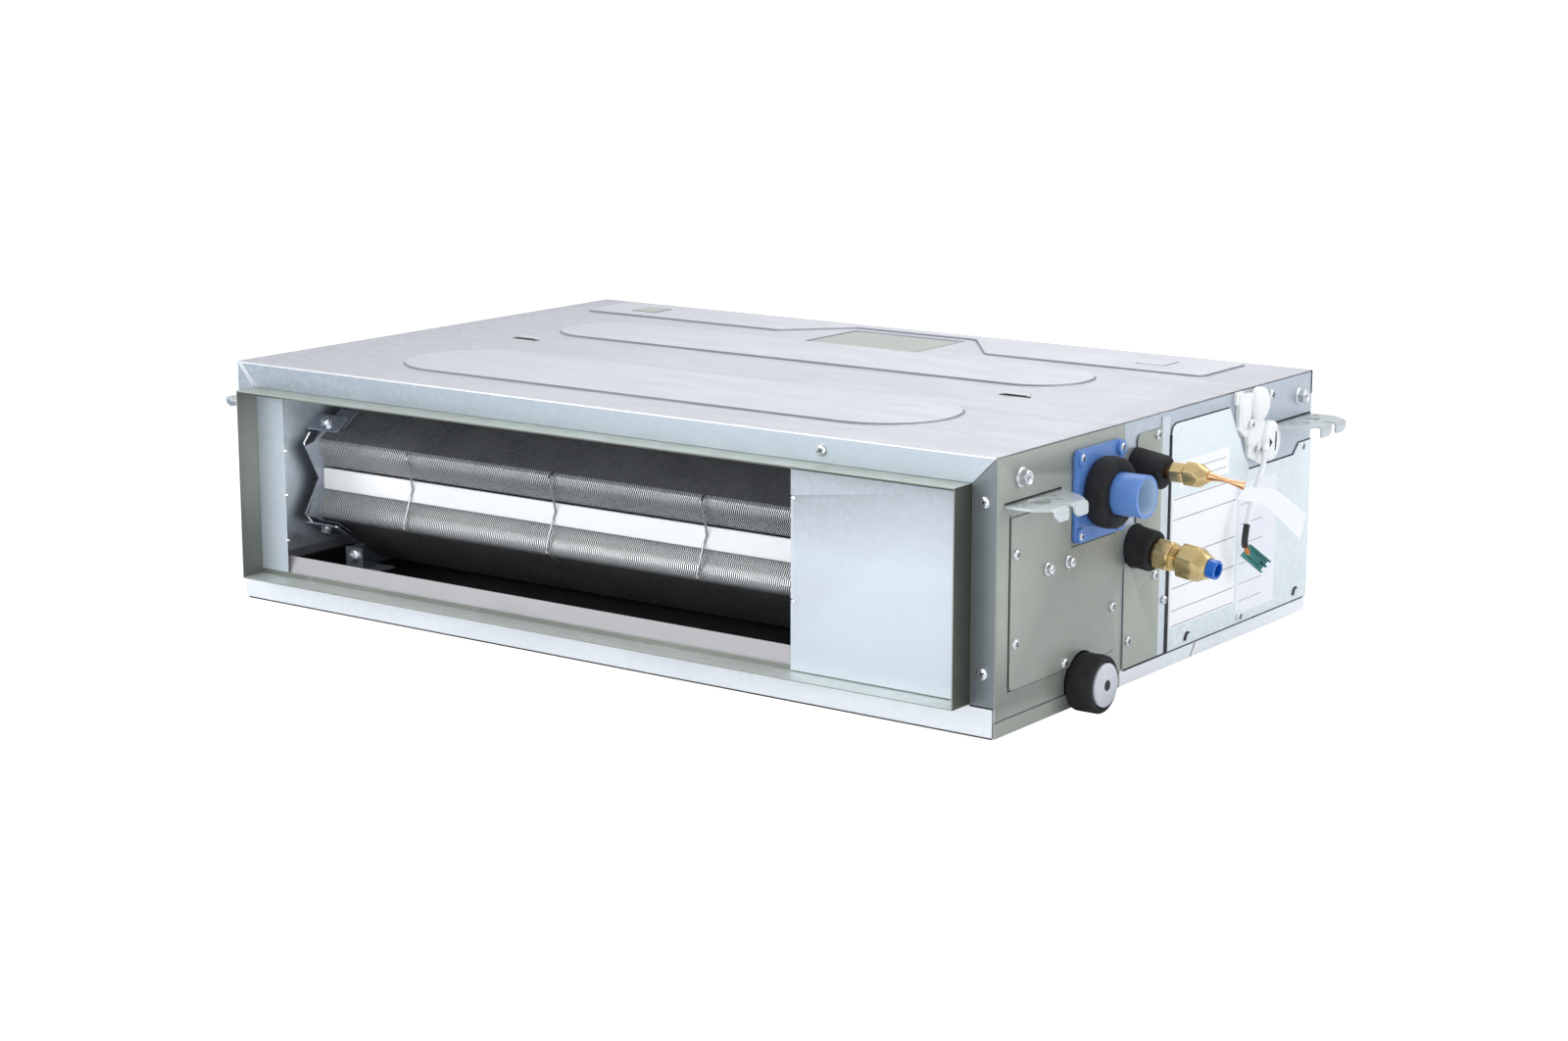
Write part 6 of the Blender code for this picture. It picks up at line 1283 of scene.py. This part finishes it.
def set_stage():
    """A wide floor that the camera sees as plain white."""
    bm = bmesh.new()
    bmesh.ops.create_grid(bm, x_segments=4, y_segments=4, size=4.0)
    floor = new_object("studio_floor", bm)
    floor.location.z = FLOOR_Z
    mat = bpy.data.materials.new("white_sweep")
    mat.use_nodes = True
    tree = mat.node_tree
    bsdf = tree.nodes["Principled BSDF"]
    bsdf.inputs["Base Color"].default_value = (0.82, 0.83, 0.85, 1)
    bsdf.inputs["Roughness"].default_value = 0.9
    glow = add_node(tree, "Emission", Color=(1, 1, 1), Strength=BACKGROUND)
    camera_sees(tree, glow, bsdf, tree.nodes["Material Output"])
    floor.data.materials.append(mat)


def set_world():
    """White to the camera; as light it is paler above and weaker towards the right."""
    world = bpy.data.worlds.new("white_studio")
    bpy.context.scene.world = world
    world.use_nodes = True
    tree = world.node_tree
    tree.nodes.clear()
    way = add_node(tree, "SeparateXYZ", Vector=add_node(tree, "TexCoord").outputs["Generated"]).outputs
    height = add_node(tree, "MapRange", Value=way["Z"], From_Min=-1, From_Max=1)
    ramp = add_node(tree, "ValToRGB", Fac=height.outputs["Result"])
    for stop, place, colour in zip(ramp.color_ramp.elements, (0.35, 0.62),
                                   ((0.62, 0.65, 0.69, 1), (0.93, 0.96, 1.0, 1))):
        stop.position = place
        stop.color = colour
    side = add_node(tree, "MapRange", Value=way["X"], From_Min=0.0, From_Max=0.95, To_Min=0.85, To_Max=0.66)
    lit = add_node(tree, "Background", Color=ramp.outputs["Color"], Strength=side.outputs["Result"])
    seen = add_node(tree, "Background", Color=(1, 1, 1), Strength=BACKGROUND)
    camera_sees(tree, seen, lit, add_node(tree, "OutputWorld"))


def hang_lamp(name, data, place, target):
    """A lamp at a place, turned towards its target."""
    lamp = bpy.data.objects.new(name, data)
    lamp.location = place
    lamp.rotation_euler = (Vector(target) - Vector(place)).to_track_quat("-Z", "Y").to_euler()
    bpy.context.scene.collection.objects.link(lamp)
    return lamp


def softbox(name, place, target, size, power, colour=(1, 1, 1)):
    data = bpy.data.lights.new(name, "AREA")
    data.shape = "RECTANGLE"
    data.size, data.size_y = size
    data.energy = power
    data.color = colour
    hang_lamp(name, data, place, target)


def wall_spot():
    """A soft spot through the supply opening on to the left wall."""
    data = bpy.data.lights.new("wall_spot", "SPOT")
    data.energy = 1.5
    data.spot_size = math.radians(52)
    data.spot_blend = 1.0
    data.shadow_soft_size = 0.05
    lamp = hang_lamp("wall_spot", data, (-0.20, -0.229, 0.125), (-0.369, -0.195, 0.115))
    lamp.visible_camera = False


set_stage()
set_world()
softbox("front_left_box", (-0.9, -1.7, 0.9), (-0.1, -0.15, 0.1), (1.2, 0.8), 13, (0.96, 0.98, 1.0))
softbox("front_fill", (0.35, -1.6, 0.35), (-0.1, -0.2, 0.08), (0.7, 0.4), 4, (0.97, 0.98, 1.0))
softbox("right_box", (2.0, 1.0, 0.8), (0.4, 0.05, 0.1), (1.0, 1.0), 10)
softbox("top_box", (0.2, 0.9, 1.8), (0, 0, 0.2), (1.8, 1.0), 14)
wall_spot()

bpy.context.scene.view_settings.view_transform = "Standard"
bpy.context.scene.render.film_transparent = False
